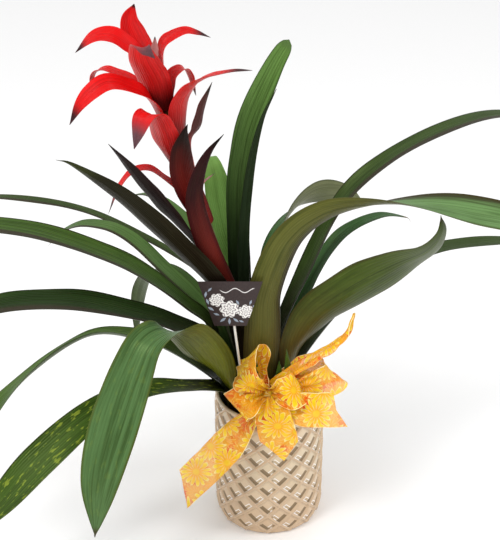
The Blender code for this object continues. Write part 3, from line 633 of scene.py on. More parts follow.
def grown(name, upper, lower, foot, tip, foot_reach=0.3, tip_reach=0.03, streaks=0.7, flecks=0.0,
          margin=0.6, seed=0.0, gloss=0.24, bump=0.0004, sheen_tint=(0.78, 1.0, 0.40), band=0.0):
    """A material for a leaf or bract from its own colours, through the growth group."""
    surface, tree, shader = principled(name, Specular_IOR_Level=gloss, Specular_Tint=(*sheen_tint, 1.0))
    skin_marks = node(tree, "ShaderNodeGroup", node_tree=growth)
    for label, value in (("Upper", (*upper, 1.0)), ("Lower", (*lower, 1.0)), ("Foot", (*foot, 1.0)),
                         ("Tip", (*tip, 1.0)), ("Foot Reach", foot_reach), ("Tip Reach", tip_reach),
                         ("Streaks", streaks), ("Flecks", flecks), ("Margin", margin), ("Seed", seed),
                         ("Band", band)):
        skin_marks.inputs[label].default_value = value
    paint(tree, shader, skin_marks.outputs["Colour"])
    tree.links.new(skin_marks.outputs["Roughness"], shader.inputs["Roughness"])
    emboss(tree, shader, skin_marks.outputs["Height"], bump, strength=0.8)
    return surface


def facing(heading):
    """The level direction across a leaf that heads this way; 0 is -Y and 90 is +X."""
    turn = np.radians(heading)
    return np.stack([np.cos(turn), np.sin(turn), np.zeros_like(turn)], axis=-1)


def rolled(side, path, roll):
    """The side directions turned about the path by the roll angles."""
    tangent = unit(np.gradient(path, axis=0))
    side = unit(side - np.sum(side * tangent, axis=1, keepdims=True) * tangent)
    angle = np.radians(roll)[:, None]
    return side * np.cos(angle) + np.cross(tangent, side) * np.sin(angle)


def outward(azimuth):
    """The level direction of an azimuth: 0 is -Y and 90 is +X."""
    turn = math.radians(azimuth)
    return np.array([math.sin(turn), -math.cos(turn), 0.0])


def stem_at(height):
    """The point of the stem's centre line at this height above the mix."""
    return np.array([np.interp(SOIL_LEVEL + height, STEM[:, 2], STEM[:, k]) for k in range(3)])


def strap(path, side, widths, channel, thickness, across, waves, crease=0.0):
    """Rings of a blade swept along a path, with its marks. Each cross-section is an arc of the
    flat width and half-angle given, hollow side up, thinner at the edges than in the middle;
    the margins rise and fall in a few long waves, and a crease sinks the midrib."""
    tangent = unit(np.gradient(path, axis=0))
    side = unit(side - np.sum(side * tangent, axis=1, keepdims=True) * tangent)
    up = np.cross(tangent, side)
    share = np.sin(np.linspace(-0.5, 0.5, across) * np.pi)[None, :]
    turn = share * channel[:, None]
    bend = (widths / 2 / channel)[:, None]
    rise = (1 - np.cos(turn)) * bend + waves * share ** 2
    rise = rise - crease * widths[:, None] * np.exp(-(share / 0.12) ** 2)
    middle = path[:, None] + (np.sin(turn) * bend)[..., None] * side[:, None] + rise[..., None] * up[:, None]
    normal = up[:, None] * np.cos(turn)[..., None] - side[:, None] * np.sin(turn)[..., None]
    half = (thickness / 2 * (1 - 0.7 * share ** 4))[..., None] * np.minimum(1.0, widths / 6.0)[:, None, None]
    rings = np.concatenate([middle + normal * half, (middle - normal * half)[:, ::-1]], axis=1)
    length = np.concatenate([[0], np.cumsum(np.linalg.norm(np.diff(path, axis=0), axis=1))])
    both = np.concatenate([share, share[:, ::-1]], axis=1) + 0 * length[:, None]
    grain = np.stack([both, length[:, None] * MM + 0 * both,
                      length[:, None] / length[-1] + 0 * both], axis=-1)
    under = np.concatenate([0 * share, 0 * share + 1], axis=1) + 0 * length[:, None]
    return rings, {"grain": grain, "under": under}


def long_waves(count, across, depth, seed):
    """Gentle rises of a blade's margins, each side its own: three sines of a few periods."""
    random = np.random.default_rng(seed)
    t = np.linspace(0, 1, count)[:, None]
    one, two = (sum(random.uniform(0.3, 1.0) * np.sin(2 * np.pi * (cycles * t + random.uniform()))
                    for cycles in (1.5, 3.0, 5.0)) for _ in range(2))
    share = np.linspace(0, 1, across)[None, :]
    return depth * (one * (1 - share) + two * share) * np.sin(np.pi * np.clip(t * 1.1, 0, 1)) * 0.6


BLUNT_WIDTH = 8.0
BLUNT_FROM = 0.965


def leaf(name, azimuth, layer, path, widths, surface, heading=None, roll=(0, 0), open_by=(22, 10),
         waves=1.2, crease=0.012, slot="green_leaf", thickness=LEAF_THICKNESS):
    """A leaf whose sheath stands in its layer about the stem, then follows its own path."""
    radius = STEM_RADIUS + LAYER_STEP * layer
    foot = CROWN + np.array([0, 0, FOOT_LIFT]) + outward(azimuth) * radius
    collar = stem_at(SHEATH_HEIGHT) + outward(azimuth) * (radius + SHEATH_FLARE)
    points = smooth_path([foot, collar] + [CROWN + np.array(point) for point in path], LEAF_RINGS)
    heading = azimuth if heading is None else heading
    headings = along((azimuth, (azimuth + heading) / 2, heading, heading, heading, heading), LEAF_RINGS)
    side = rolled(facing(headings), points, along(roll, LEAF_RINGS))
    flat = along(widths if widths[-1] > BLUNT_WIDTH else (*widths[:-1], 0.8), LEAF_RINGS)
    last_part = np.clip((np.linspace(0, 1, LEAF_RINGS) - BLUNT_FROM) / (1 - BLUNT_FROM), 0, 1)
    flat = np.maximum(flat * np.sqrt(1 - last_part ** 2), 0.8)
    wrap = math.degrees(widths[0] / 2 / radius)
    channel = np.radians(along((wrap, 40, *open_by), LEAF_RINGS))
    seed = sum(ord(letter) * (k + 1) for k, letter in enumerate(name))
    rings, marks = strap(points, side, flat, channel, thickness, LEAF_ACROSS,
                         long_waves(LEAF_RINGS, LEAF_ACROSS, waves, seed), crease)
    return stands_for(skin(f"{name}_blade", rings, surface, marks=marks), slot, name)


GREEN_FOOT = (0.030, 0.026, 0.008)
BROWN_FOOT = (0.040, 0.030, 0.010)
DARK_FOOT = (0.012, 0.009, 0.005)
DRY_TIP = (0.05, 0.04, 0.015)

leaf("leaf_left_low", -74, 13, [(-50, -37, 42), (-81, -59, 58), (-133, -93, 75), (-183, -125, 66),
                                (-236, -160, 34), (-277, -187, -2), (-320, -214, -40)],
     (28, 28, 30, 36, 40, 34, 4),
     grown("flecked_green", (0.032, 0.070, 0.006), (0.05, 0.07, 0.02), (0.028, 0.030, 0.006), DRY_TIP,
           foot_reach=0.42, flecks=0.6, seed=1.0), heading=-57, roll=(0, 0, -20, -25, -10))
leaf("leaf_front_left", -52, 10, [(-46, -43, 60), (-59, -66, 101), (-78, -94, 145), (-97, -119, 169),
                                  (-117, -137, 169), (-131, -151, 148), (-153, -174, 91),
                                  (-170, -193, 30), (-178, -200, -36)],
     (28, 38, 50, 46, 42, 50, 52, 38, 3),
     grown("front_green", (0.074, 0.150, 0.050), (0.085, 0.10, 0.02), (0.125, 0.135, 0.006), DRY_TIP,
           foot_reach=0.40, streaks=0.8, flecks=0.08, seed=2.0),
     heading=-44, roll=(0, -5, 45, 48, -10, -30, -30, -30, -30), slot="olive_leaf")
leaf("leaf_left_arching", -76, 11, [(-65, -31, 62), (-102, -46, 100), (-134, -59, 122),
                                    (-187, -80, 139), (-250, -106, 106), (-308, -129, 49),
                                    (-345, -144, 0)],
     (28, 34, 38, 30, 32, 28, 4),
     grown("bright_green", (0.062, 0.125, 0.018), (0.045, 0.08, 0.02), (0.022, 0.034, 0.008), DRY_TIP,
           foot_reach=0.5, flecks=0.1, seed=3.0), heading=-68, roll=(0, -6, -2, 27, 25, -10, -25))
leaf("leaf_left_mid", -102, 9.4, [(-60, -8, 83), (-102, -8, 107), (-144, -13, 125), (-215, -20, 145),
                                  (-288, -28, 146), (-339, -33, 120), (-372, -38, 80)],
     (28, 32, 36, 40, 36, 28, 4),
     grown("deep_green", (0.012, 0.034, 0.005), (0.018, 0.022, 0.010), DARK_FOOT, DRY_TIP,
           foot_reach=0.45, seed=4.0, band=0.75), heading=-84, roll=(0, -5, -10, -10), slot="dark_green_leaf")
leaf("leaf_left_upper", -69, 8.4, [(-56, -19, 108), (-87, -24, 144), (-125, -28, 180), (-168, -30, 208),
                                   (-249, -30, 239), (-337, -26, 245), (-390, -22, 226)],
     (24, 30, 34, 36, 34, 26, 4),
     grown("fresh_green", (0.050, 0.105, 0.016), (0.045, 0.033, 0.016), GREEN_FOOT, DRY_TIP,
           foot_reach=0.4, margin=0.9, seed=5.0, band=0.8), heading=-90, roll=(0, 0, -5, -10))
pale_green = grown("pale_green", (0.085, 0.165, 0.045), (0.24, 0.22, 0.13), (0.035, 0.05, 0.014), DRY_TIP,
                   foot_reach=0.3, streaks=0.6, seed=6.0, band=0.55)
leaf("leaf_left_recurved", -120, 7.6, [(-55, 15, 101), (-76, 26, 121), (-110, 38, 152), (-140, 48, 180),
                                       (-162, 56, 193), (-182, 64, 196), (-208, 76, 191),
                                       (-232, 87, 175), (-250, 95, 152)],
     (18, 19, 20, 22, 20, 14, 3), pale_green, heading=-112, roll=(0, -5, -10, -10), slot="pale_green_leaf")
leaf("leaf_back_left_upper", -172, 8.8, [(-31, 48, 59), (-46, 66, 101), (-64, 84, 147), (-93, 104, 184),
                                         (-128, 122, 204), (-160, 136, 197)],
     (22, 24, 26, 24, 18, 3), pale_green, heading=-132, slot="pale_green_leaf")
leaf("leaf_left_thin", -128, 4, [(-49, 40, 124), (-82, 61, 146), (-138, 87, 168), (-199, 104, 191),
                                 (-270, 116, 202), (-348, 128, 199), (-400, 136, 181)],
     (12, 13, 13, 14, 12, 4),
     grown("brown_green", (0.045, 0.075, 0.022), (0.075, 0.045, 0.025), BROWN_FOOT, DRY_TIP,
           foot_reach=0.35, margin=0.9, seed=7.0, band=0.9), heading=-106)
leaf("leaf_left_dark", -60, 2.6, [(-37, -21, 130), (-54, -28, 171), (-94, -43, 231), (-141, -56, 289),
                                  (-191, -68, 334), (-209, -73, 343)],
     (26, 34, 38, 38, 30, 3),
     grown("bronze", (0.020, 0.020, 0.008), (0.016, 0.010, 0.006), (0.010, 0.006, 0.004),
           (0.035, 0.040, 0.012), foot_reach=0.6, tip_reach=0.14, streaks=0.45, seed=8.0,
           bump=0.0003, gloss=0.12),
     heading=-72, roll=(0, 20, 40, 45, 45), slot="maroon_leaf")
mid_green = grown("mid_green", (0.050, 0.110, 0.024), (0.07, 0.10, 0.04), GREEN_FOOT, DRY_TIP,
                  foot_reach=0.3, seed=9.0)
leaf("leaf_back_left", -149, 10.4, [(-50, 60, 58), (-86, 97, 92), (-117, 132, 96), (-137, 154, 82),
                                    (-152, 170, 40), (-160, 179, -31)],
     (24, 28, 30, 30, 24, 3), mid_green, heading=-138)
leaf("leaf_back_low", 166, 11, [(-8, 68, 56), (-11, 98, 76), (-14, 136, 70), (-16, 172, 40), (-18, 196, -6)],
     (26, 30, 34, 30, 4), mid_green, heading=180)
leaf("leaf_back_pale", 186, 5.6, [(-22, 45, 85), (-31, 61, 154), (-41, 68, 188), (-54, 80, 251),
                                  (-60, 92, 266), (-62, 104, 262)],
     (20, 20, 28, 34, 32, 14),
     grown("young_green", (0.20, 0.38, 0.09), (0.20, 0.37, 0.095), (0.06, 0.10, 0.025), DRY_TIP,
           foot_reach=0.3, streaks=0.25, margin=0.2, seed=10.0), heading=190, slot="pale_green_leaf")
leaf("leaf_back_upright", 168, 3, [(-22, 32, 95), (-28, 46, 169), (-29, 54, 245), (-24, 62, 290),
                                   (-14, 68, 329), (10, 84, 379), (28, 96, 406)],
     (22, 26, 28, 28, 28, 30, 17),
     grown("upright_green", (0.125, 0.245, 0.055), (0.12, 0.23, 0.055), (0.010, 0.014, 0.008),
           (0.08, 0.15, 0.04), foot_reach=1.05, streaks=0.9, seed=11.0), heading=200)
leaf("leaf_back_upright_inner", 184, 1.4, [(-19, 18, 87), (-22, 29, 153), (-21, 37, 209),
                                           (-14, 46, 277), (-2, 54, 329), (14, 62, 363)],
     (16, 17, 15, 13, 9, 2),
     grown("black_green", (0.016, 0.030, 0.014), (0.012, 0.022, 0.012), (0.006, 0.006, 0.005), DRY_TIP,
           foot_reach=0.6, seed=12.0), heading=200, slot="dark_green_leaf")
leaf("leaf_back_right", 150, 7.4, [(8, 35, 90), (8, 38, 135), (11, 42, 177), (31, 52, 218),
                                   (58, 72, 232), (95, 104, 218), (118, 126, 194)],
     (22, 24, 26, 30, 28, 4),
     grown("grey_green", (0.065, 0.145, 0.05), (0.17, 0.18, 0.085), (0.02, 0.035, 0.012), DRY_TIP,
           foot_reach=0.45, streaks=0.6, seed=13.0), heading=135, roll=(0, 0, 0, -10, -60, -85, -80))
leaf("leaf_right_rising", 105, 5, [(22, 8, 93), (49, 15, 163), (86, 27, 243), (137, 43, 289),
                                   (201, 64, 316), (261, 83, 324), (333, 107, 307)],
     (26, 28, 32, 30, 28, 24, 4),
     grown("shaded_green", (0.036, 0.066, 0.014), (0.030, 0.022, 0.014), (0.020, 0.020, 0.010), DRY_TIP,
           foot_reach=0.4, margin=0.9, seed=14.0, band=-0.9), heading=108)
leaf("leaf_right_curled", 121, 8.8, [(32, 22, 90), (47, 29, 122), (62, 38, 154), (90, 52, 192),
                                     (131, 70, 205), (163, 82, 197), (170, 84, 190)],
     (24, 26, 28, 24, 18, 3),
     grown("sage_green", (0.055, 0.145, 0.045), (0.16, 0.17, 0.08), (0.025, 0.030, 0.010), (0.20, 0.09, 0.02),
           foot_reach=0.4, tip_reach=0.06, seed=15.0), heading=115)
leaf("leaf_front_right", 18, 8, [(0, -32, 70), (1, -33, 122), (4, -34, 165), (26, -38, 229),
                                 (62, -44, 266), (110, -52, 282), (158, -60, 286),
                                 (213, -68, 282), (276, -79, 271), (345, -92, 238)],
     (32, 44, 44, 42, 38, 32, 42, 42, 28, 4),
     grown("olive_brown", (0.13, 0.24, 0.085), (0.100, 0.100, 0.020), (0.095, 0.080, 0.018), DRY_TIP,
           foot_reach=0.42, streaks=0.8, seed=16.0, band=0.45), heading=80,
     roll=(0, -30, -42, -60, -60, -20, 15, 22, 20), slot="olive_leaf")
leaf("leaf_right_broad", 72, 10.4, [(32, -13, 48), (39, -17, 87), (57, -23, 126), (87, -33, 159),
                                    (142, -51, 208), (172, -61, 232), (184, -65, 256),
                                    (182, -64, 276)],
     (28, 38, 48, 58, 60, 48, 6),
     grown("moss_green", (0.042, 0.088, 0.010), (0.046, 0.072, 0.008), (0.085, 0.062, 0.016), DRY_TIP,
           foot_reach=0.62, streaks=0.8, flecks=0.04, seed=17.0, bump=0.0002),
     heading=72, roll=(0, -8, -58, -64, -60, -40, -20))
leaf("leaf_right_low", 99, 12.4, [(46, 5, 60), (98, 15, 130), (153, 24, 165), (198, 32, 184),
                                  (267, 44, 186), (314, 53, 177), (350, 59, 164)],
     (26, 26, 28, 24, 20, 4),
     grown("low_green", (0.040, 0.070, 0.018), (0.05, 0.05, 0.02), GREEN_FOOT, DRY_TIP, seed=18.0),
     heading=100)

# ---------------------------------------------------------------- the young shoots
# Four narrow bright shoots stand between the old sheaths at the front and left.
shoot_green = grown("shoot_green", (0.085, 0.20, 0.022), (0.075, 0.17, 0.022), (0.10, 0.17, 0.04),
                    (0.06, 0.13, 0.02), foot_reach=0.3, tip_reach=0.1, streaks=0.4, margin=0.2, seed=21.0)
for name, azimuth, layer, tip in [("shoot_front", -6, 12, (-8, -41, 82)),
                                  ("shoot_right", 26, 12.5, (18, -40, 81)),
                                  ("shoot_right_inner", 46, 13.5, (26, -39, 96)),
                                  ("shoot_left", -108, 12, (-58, -4, 28))]:
    foot = outward(azimuth) * (STEM_RADIUS + LAYER_STEP * layer)
    half = (foot + np.array(tip)) / 2
    leaf(name, azimuth, layer, [(half[0], half[1], tip[2] * 0.6), tip], (12, 13, 12, 2), shoot_green,
         waves=0.3, slot="pale_green_leaf")

# ---------------------------------------------------------------- the flower head
# Waxy bracts clasp the stem all the way up and arch out, the lower ones maroon, the upper ones
# scarlet with a pink bloom on the outside and dark withered tips.
BRACT_CLEARANCE = 1.2
BRACT_THICKNESS = 1.0
BRACT_RINGS = 73
BRACT_ACROSS = 15


def bract(name, height, azimuth, path, widths, surface, heading=None, roll=(0, 0), open_by=(30, 25, 12),
          slot="red_bract", waves=0.9):
    """A bract that clasps the stem at a height and follows its own path."""
    foot = stem_at(height) + outward(azimuth) * (STEM_RADIUS + BRACT_CLEARANCE)
    points = smooth_path([foot] + [CROWN + np.array(point) for point in path], BRACT_RINGS)
    heading = azimuth if heading is None else heading
    side = rolled(facing(along((azimuth, heading, heading), BRACT_RINGS)), points, along(roll, BRACT_RINGS))
    channel = np.radians(np.maximum(along((55, *open_by), BRACT_RINGS), 8.0))
    flat = np.maximum(along((*widths[:-1], 0.7), BRACT_RINGS), 0.7)
    seed = sum(ord(letter) * (k + 1) for k, letter in enumerate(name))
    rings, marks = strap(points, side, flat, channel, BRACT_THICKNESS, BRACT_ACROSS,
                         long_waves(BRACT_RINGS, BRACT_ACROSS, waves, seed), crease=0.02)
    return stands_for(skin(f"{name}_blade", rings, surface, marks=marks), slot, name)


SCARLET = (0.74, 0.005, 0.006)
PINK_BLOOM = (0.66, 0.020, 0.020)
WINE = (0.085, 0.008, 0.008)
BLACK_RED = (0.028, 0.008, 0.010)
DRY_MAROON = (0.115, 0.055, 0.065)


def red(name, foot=WINE, foot_reach=0.35, tip_reach=0.16, seed=0.0, upper=SCARLET, lower=PINK_BLOOM,
        tip=BLACK_RED):
    """A waxy red that lets a little light through, from a wine-dark foot to a withered tip."""
    surface = grown(name, upper, lower, foot, tip, foot_reach=foot_reach, tip_reach=tip_reach,
                    streaks=0.4, margin=0.0, seed=seed, bump=0.0004, gloss=0.30,
                    sheen_tint=(1.0, 0.35, 0.35))
    shader = surface.node_tree.nodes["Principled BSDF"]
    shader.inputs["Subsurface Weight"].default_value = 0.15
    shader.inputs["Subsurface Radius"].default_value = (1.0, 0.2, 0.1)
    shader.inputs["Subsurface Scale"].default_value = 0.003
    return surface


scarlet = red("scarlet", seed=31.0)
scarlet_long = red("scarlet_long_tip", tip_reach=0.24, seed=32.0)
scarlet_cup = red("scarlet_cup", foot_reach=0.42, tip_reach=0.26, seed=33.0, tip=DRY_MAROON)
maroon = grown("maroon", (0.020, 0.008, 0.009), (0.026, 0.014, 0.014), (0.045, 0.006, 0.005),
               (0.020, 0.012, 0.012), foot_reach=0.5, tip_reach=0.1, streaks=0.7, margin=0.3, seed=34.0,
               bump=0.0005, gloss=0.12, sheen_tint=(1.0, 0.7, 0.7))
brick = grown("brick", (0.022, 0.006, 0.007), (0.030, 0.008, 0.009), (0.16, 0.018, 0.012),
              (0.012, 0.009, 0.008), foot_reach=0.70, tip_reach=0.12, streaks=0.6, margin=0.3, seed=35.0,
              gloss=0.07, sheen_tint=(1.0, 0.6, 0.6))
capped = grown("capped", (0.016, 0.008, 0.007), (0.020, 0.009, 0.008), (0.19, 0.014, 0.010),
               (0.014, 0.010, 0.008), foot_reach=1.0, tip_reach=0.25, streaks=0.5, seed=39.0,
               gloss=0.08, sheen_tint=(1.0, 0.6, 0.6))
pink_stub = red("pink_stub", upper=(0.62, 0.22, 0.22), lower=(0.62, 0.28, 0.27), foot=SCARLET, tip_reach=0.12,
                seed=36.0)

bract("bract_lower_left", 182, -80, [(-85, -18, 232), (-108, -28, 269), (-130, -38, 306),
                                     (-145, -45, 331), (-158, -50, 350)],
      (18, 22, 24, 18, 3), maroon, heading=-72, roll=(0, 30, 45, 40), slot="maroon_leaf")
bract("bract_lower_right", 150, 14, [(-54, -22, 201), (-66, -28, 242), (-72, -33, 280),
                                     (-66, -36, 312), (-56, -38, 336), (-41, -42, 357)],
      (22, 24, 24, 21, 13, 3), brick, heading=20, slot="maroon_leaf")
bract("bract_stub", 240, 140, [(-66, 17, 268), (-52, 19, 284)], (13, 13, 3), pink_stub, heading=80)
bract("bract_upright", 232, 30, [(-80, -20, 289), (-85, -26, 326), (-82, -30, 351), (-78, -31, 363)],
      (20, 28, 30, 25, 5), capped, heading=30, slot="maroon_leaf")
bract("bract_small_left", 258, -100, [(-110, -2, 291), (-125, -8, 302), (-140, -14, 299),
                                      (-153, -18, 283), (-165, -20, 254)],
      (18, 16, 15, 13, 3), scarlet_long, heading=-80)
bract("bract_front_low", 284, -30, [(-99, -13, 323), (-106, -25, 354), (-112, -37, 376),
                                    (-121, -46, 377), (-127, -50, 362), (-132, -50, 344)],
      (22, 30, 38, 34, 22, 3), scarlet_cup, heading=-30)
bract("bract_twisted", 296, 110, [(-78, 14, 323), (-71, 18, 337), (-64, 24, 361), (-54, 28, 385)],
      (14, 15, 14, 10, 2),
      grown("wine", (0.06, 0.012, 0.015), (0.10, 0.03, 0.035), (0.42, 0.01, 0.01), (0.025, 0.018, 0.02),
            foot_reach=0.45, tip_reach=0.2, streaks=0.5, seed=37.0, gloss=0.15),
      heading=45, slot="maroon_leaf")
bract("bract_left", 334, -60, [(-116, -20, 384), (-134, -28, 401), (-155, -36, 410),
                               (-172, -42, 403), (-185, -46, 390), (-196, -48, 370)],
      (20, 26, 30, 27, 19, 3), scarlet, heading=-62, roll=(0, -10, -20, -20))
bract("bract_right", 326, 60, [(-85, -8, 373), (-74, -14, 396), (-60, -20, 409), (-45, -26, 416),
                               (-29, -30, 421), (-12, -34, 423)],
      (19, 30, 32, 23, 12, 2), scarlet_long, heading=55, roll=(0, -6, 0, 10))
bract("bract_front", 364, -10, [(-113, -12, 401), (-121, -25, 428), (-123, -34, 446),
                                (-117, -42, 448), (-108, -45, 440)],
      (24, 34, 38, 34, 22, 3), scarlet_cup, heading=-10)
bract("bract_back_left", 372, -120, [(-134, 24, 386), (-150, 32, 392), (-167, 38, 395),
                                     (-179, 44, 387), (-184, 48, 362)],
      (16, 16, 16, 12, 2), scarlet, heading=-120)
bract("bract_back_right", 366, 140, [(-96, 26, 390), (-88, 34, 397), (-80, 40, 391), (-72, 46, 362)],
      (16, 18, 18, 12, 2), scarlet, heading=130)
bract("bract_top_left", 392, -80, [(-127, -4, 423), (-141, -7, 441), (-157, -8, 450),
                                   (-173, -11, 448), (-190, -14, 434)],
      (16, 25, 27, 20, 3), scarlet, heading=-84, roll=(0, -20, -20))
bract("bract_top_right", 388, 100, [(-104, 13, 427), (-94, 17, 439), (-81, 20, 444), (-68, 23, 441),
                                    (-55, 26, 435)],
      (14, 20, 19, 13, 2), scarlet_long, heading=100, roll=(0, 15, 15))
bract("bract_top", 402, 160, [(-128, 18, 436), (-135, 16, 458), (-131, 12, 476)],
      (16, 29, 28, 3), red("scarlet_top", foot_reach=0.2, tip_reach=0.08, seed=38.0), heading=160)
bract("bract_heart", 414, 60, [(-111, -2, 430), (-110, -6, 448)], (10, 12, 3), pink_stub, heading=40)

# ---------------------------------------------------------------- the gift card
# A tapered tag of printed plastic glued to a white stick that is pushed into the mix. The print
# is three white blooms, pale sprigs and a curl, on plum.
card_low, card_high = (np.array(corner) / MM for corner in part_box("card"))
CARD_BOTTOM_WIDTH = 35.0
CARD_ROUND = 0.3
PLAIN_BACK = 200.0  # the back takes its colour from this far above the print
# Each bloom is its middle across and up the card, its radius and its turn in radians; each sprig
# is its middle, its turn in degrees and its length.
BLOOMS = [(17.0, 18.5, 9.0, 4.1), (-14.5, 33.0, 8.6, 1.0), (-1.0, 21.5, 11.0, 2.6)]
SPRIGS = [(-21.0, 22.0, 35.0, 4.2), (-24.5, 31.0, 70.0, 4.0), (-26.5, 40.0, 100.0, 4.0),
          (-22.0, 46.0, 130.0, 3.4), (-15.0, 15.0, 20.0, 3.6), (-8.0, 8.0, -40.0, 4.4),
          (-1.0, 6.0, 88.0, 4.2), (6.0, 7.5, 40.0, 4.0), (12.0, 6.0, 20.0, 3.0),
          (8.0, 30.0, 60.0, 3.4), (22.0, 30.0, 110.0, 3.4), (26.0, 24.0, 60.0, 3.2)]

# The bloom group: ruffled round petals about a centre, with darker creases between them.
bloom, given, result = effect("bloom", [("Place", "NodeSocketVector"), ("Centre", "NodeSocketVector"),
                                        ("Radius", "NodeSocketFloat"), ("Turn", "NodeSocketFloat")],
                              [("Mask", "NodeSocketFloat"), ("Crease", "NodeSocketFloat")])
offset = node(bloom, "ShaderNodeVectorMath", {0: given.outputs["Place"], 1: given.outputs["Centre"]},
              operation="SUBTRACT").outputs[0]
across_card, up_card, _ = node(bloom, "ShaderNodeSeparateXYZ", {0: offset}).outputs
from_middle = node(bloom, "ShaderNodeVectorMath", {0: offset}, operation="LENGTH").outputs["Value"]
distance = calc(bloom, "DIVIDE", from_middle, given.outputs["Radius"])
bearing = calc(bloom, "ADD", calc(bloom, "ARCTAN2", up_card, across_card), given.outputs["Turn"])
petal_wave = calc(bloom, "ABSOLUTE", calc(bloom, "SINE", calc(bloom, "MULTIPLY", bearing, 3.5)))
ruffle = calc(bloom, "MULTIPLY_ADD", petal_wave, 0.22, 0.78)
bloom.links.new(between(bloom, calc(bloom, "DIVIDE", distance, ruffle), 1.03, 0.95), result.inputs["Mask"])
crease_wave = calc(bloom, "MULTIPLY", calc(bloom, "SINE", calc(bloom, "MULTIPLY", bearing, 7.0)), 2.0)
swirl = calc(bloom, "SINE", calc(bloom, "ADD", calc(bloom, "MULTIPLY", distance, 16.0), crease_wave))
bloom.links.new(between(bloom, swirl, 0.30, 0.85), result.inputs["Crease"])

# The sprig group: one pointed leaf, an oval turned about its centre.
sprig, given, result = effect("sprig", [("Place", "NodeSocketVector"), ("Centre", "NodeSocketVector"),
                                        ("Turn", "NodeSocketFloat"), ("Length", "NodeSocketFloat")],
                              [("Mask", "NodeSocketFloat")])
offset = node(sprig, "ShaderNodeVectorMath", {0: given.outputs["Place"], 1: given.outputs["Centre"]},
              operation="SUBTRACT").outputs[0]
turned_leaf = node(sprig, "ShaderNodeVectorRotate", {"Vector": offset, "Angle": given.outputs["Turn"]},
                   rotation_type="Z_AXIS").outputs[0]
leaf_x, leaf_y, _ = node(sprig, "ShaderNodeSeparateXYZ", {0: turned_leaf}).outputs
leaf_length = given.outputs["Length"]
long_way = calc(sprig, "POWER", calc(sprig, "ABSOLUTE", calc(sprig, "DIVIDE", leaf_x, leaf_length)), 1.4)
leaf_width = calc(sprig, "MULTIPLY", leaf_length, 0.36)
wide_way = calc(sprig, "ABSOLUTE", calc(sprig, "DIVIDE", leaf_y, leaf_width))
sprig.links.new(between(sprig, calc(sprig, "ADD", long_way, wide_way), 1.05, 0.9), result.inputs["Mask"])

card_print, tree, shader = principled("plum_print", Roughness=0.5, Specular_IOR_Level=0.3)
print_place = node(tree, "ShaderNodeUVMap", uv_map="surface").outputs[0]
across_card, up_card, _ = node(tree, "ShaderNodeSeparateXYZ", {0: print_place}).outputs
fibre = noise(tree, print_place, 0.35, detail=4.0)
inked = mixed(tree, fibre, (0.024, 0.014, 0.014, 1.0), (0.052, 0.034, 0.032, 1.0))
for x, y, turn, length in SPRIGS:
    one = node(tree, "ShaderNodeGroup", node_tree=sprig)
    tree.links.new(print_place, one.inputs["Place"])
    one.inputs["Centre"].default_value = (x, y, 0.0)
    one.inputs["Turn"].default_value = math.radians(turn)
    one.inputs["Length"].default_value = length
    inked = mixed(tree, calc(tree, "MULTIPLY", one.outputs["Mask"], 0.85), inked, (0.36, 0.42, 0.50, 1.0))
for x, y, radius, turn in BLOOMS:
    one = node(tree, "ShaderNodeGroup", node_tree=bloom)
    tree.links.new(print_place, one.inputs["Place"])
    one.inputs["Centre"].default_value = (x, y, 0.0)
    one.inputs["Radius"].default_value = radius
    one.inputs["Turn"].default_value = turn
    petal = mixed(tree, one.outputs["Crease"], (0.86, 0.84, 0.80, 1.0), (0.24, 0.19, 0.21, 1.0))
    inked = mixed(tree, one.outputs["Mask"], inked, petal)
curl = calc(tree, "MULTIPLY_ADD", calc(tree, "SINE", calc(tree, "MULTIPLY", across_card, 0.30)), 2.6, 45.0)
line = between(tree, calc(tree, "ABSOLUTE", calc(tree, "SUBTRACT", up_card, curl)), 0.75, 0.35)
line = calc(tree, "MULTIPLY", line, calc(tree, "MULTIPLY", between(tree, across_card, -12.0, -9.0),
                                         between(tree, across_card, 27.0, 24.0)))
inked = mixed(tree, line, inked, (0.80, 0.76, 0.74, 1.0))
paint(tree, shader, inked)
emboss(tree, shader, fibre, 0.0002)

card_middle = (card_low + card_high) / 2
card_share = np.array([0.0, 0.004, *np.linspace(0.02, 0.98, 16), 0.996, 1.0])
card_half = (CARD_BOTTOM_WIDTH + (card_high[0] - card_low[0] - CARD_BOTTOM_WIDTH) * card_share) / 2
card_edge = np.where((card_share == 0) | (card_share == 1), CARD_ROUND, 0.0)[:, None]
spread = np.array([-1.0, *np.linspace(-0.97, 0.97, 12), 1.0])
card_columns = len(spread)
card_x = np.concatenate([spread, spread[::-1]])[None, :] * card_half[:, None]
card_thick = (card_high[1] - card_low[1]) / 2
card_y = np.repeat([-1.0, 1.0], card_columns)[None, :] * (card_thick - card_edge)
card_z = card_low[2] + (card_high[2] - card_low[2]) * card_share[:, None] + 0 * card_x
card_rings = np.stack([card_middle[0] + card_x, card_middle[1] + card_y, card_z], axis=-1)
card_uv = np.stack([card_x, card_z - card_low[2]], axis=-1)
card_uv = np.concatenate([card_uv, card_uv[:, :1]], axis=1)
card_uv[:, card_columns:2 * card_columns, 1] += PLAIN_BACK
card_piece = skin("gift_card", card_rings, card_print, uv=card_uv)
card_piece.data.set_sharp_from_angle(angle=math.radians(40))
stands_for(card_piece, "plum_card", "card")

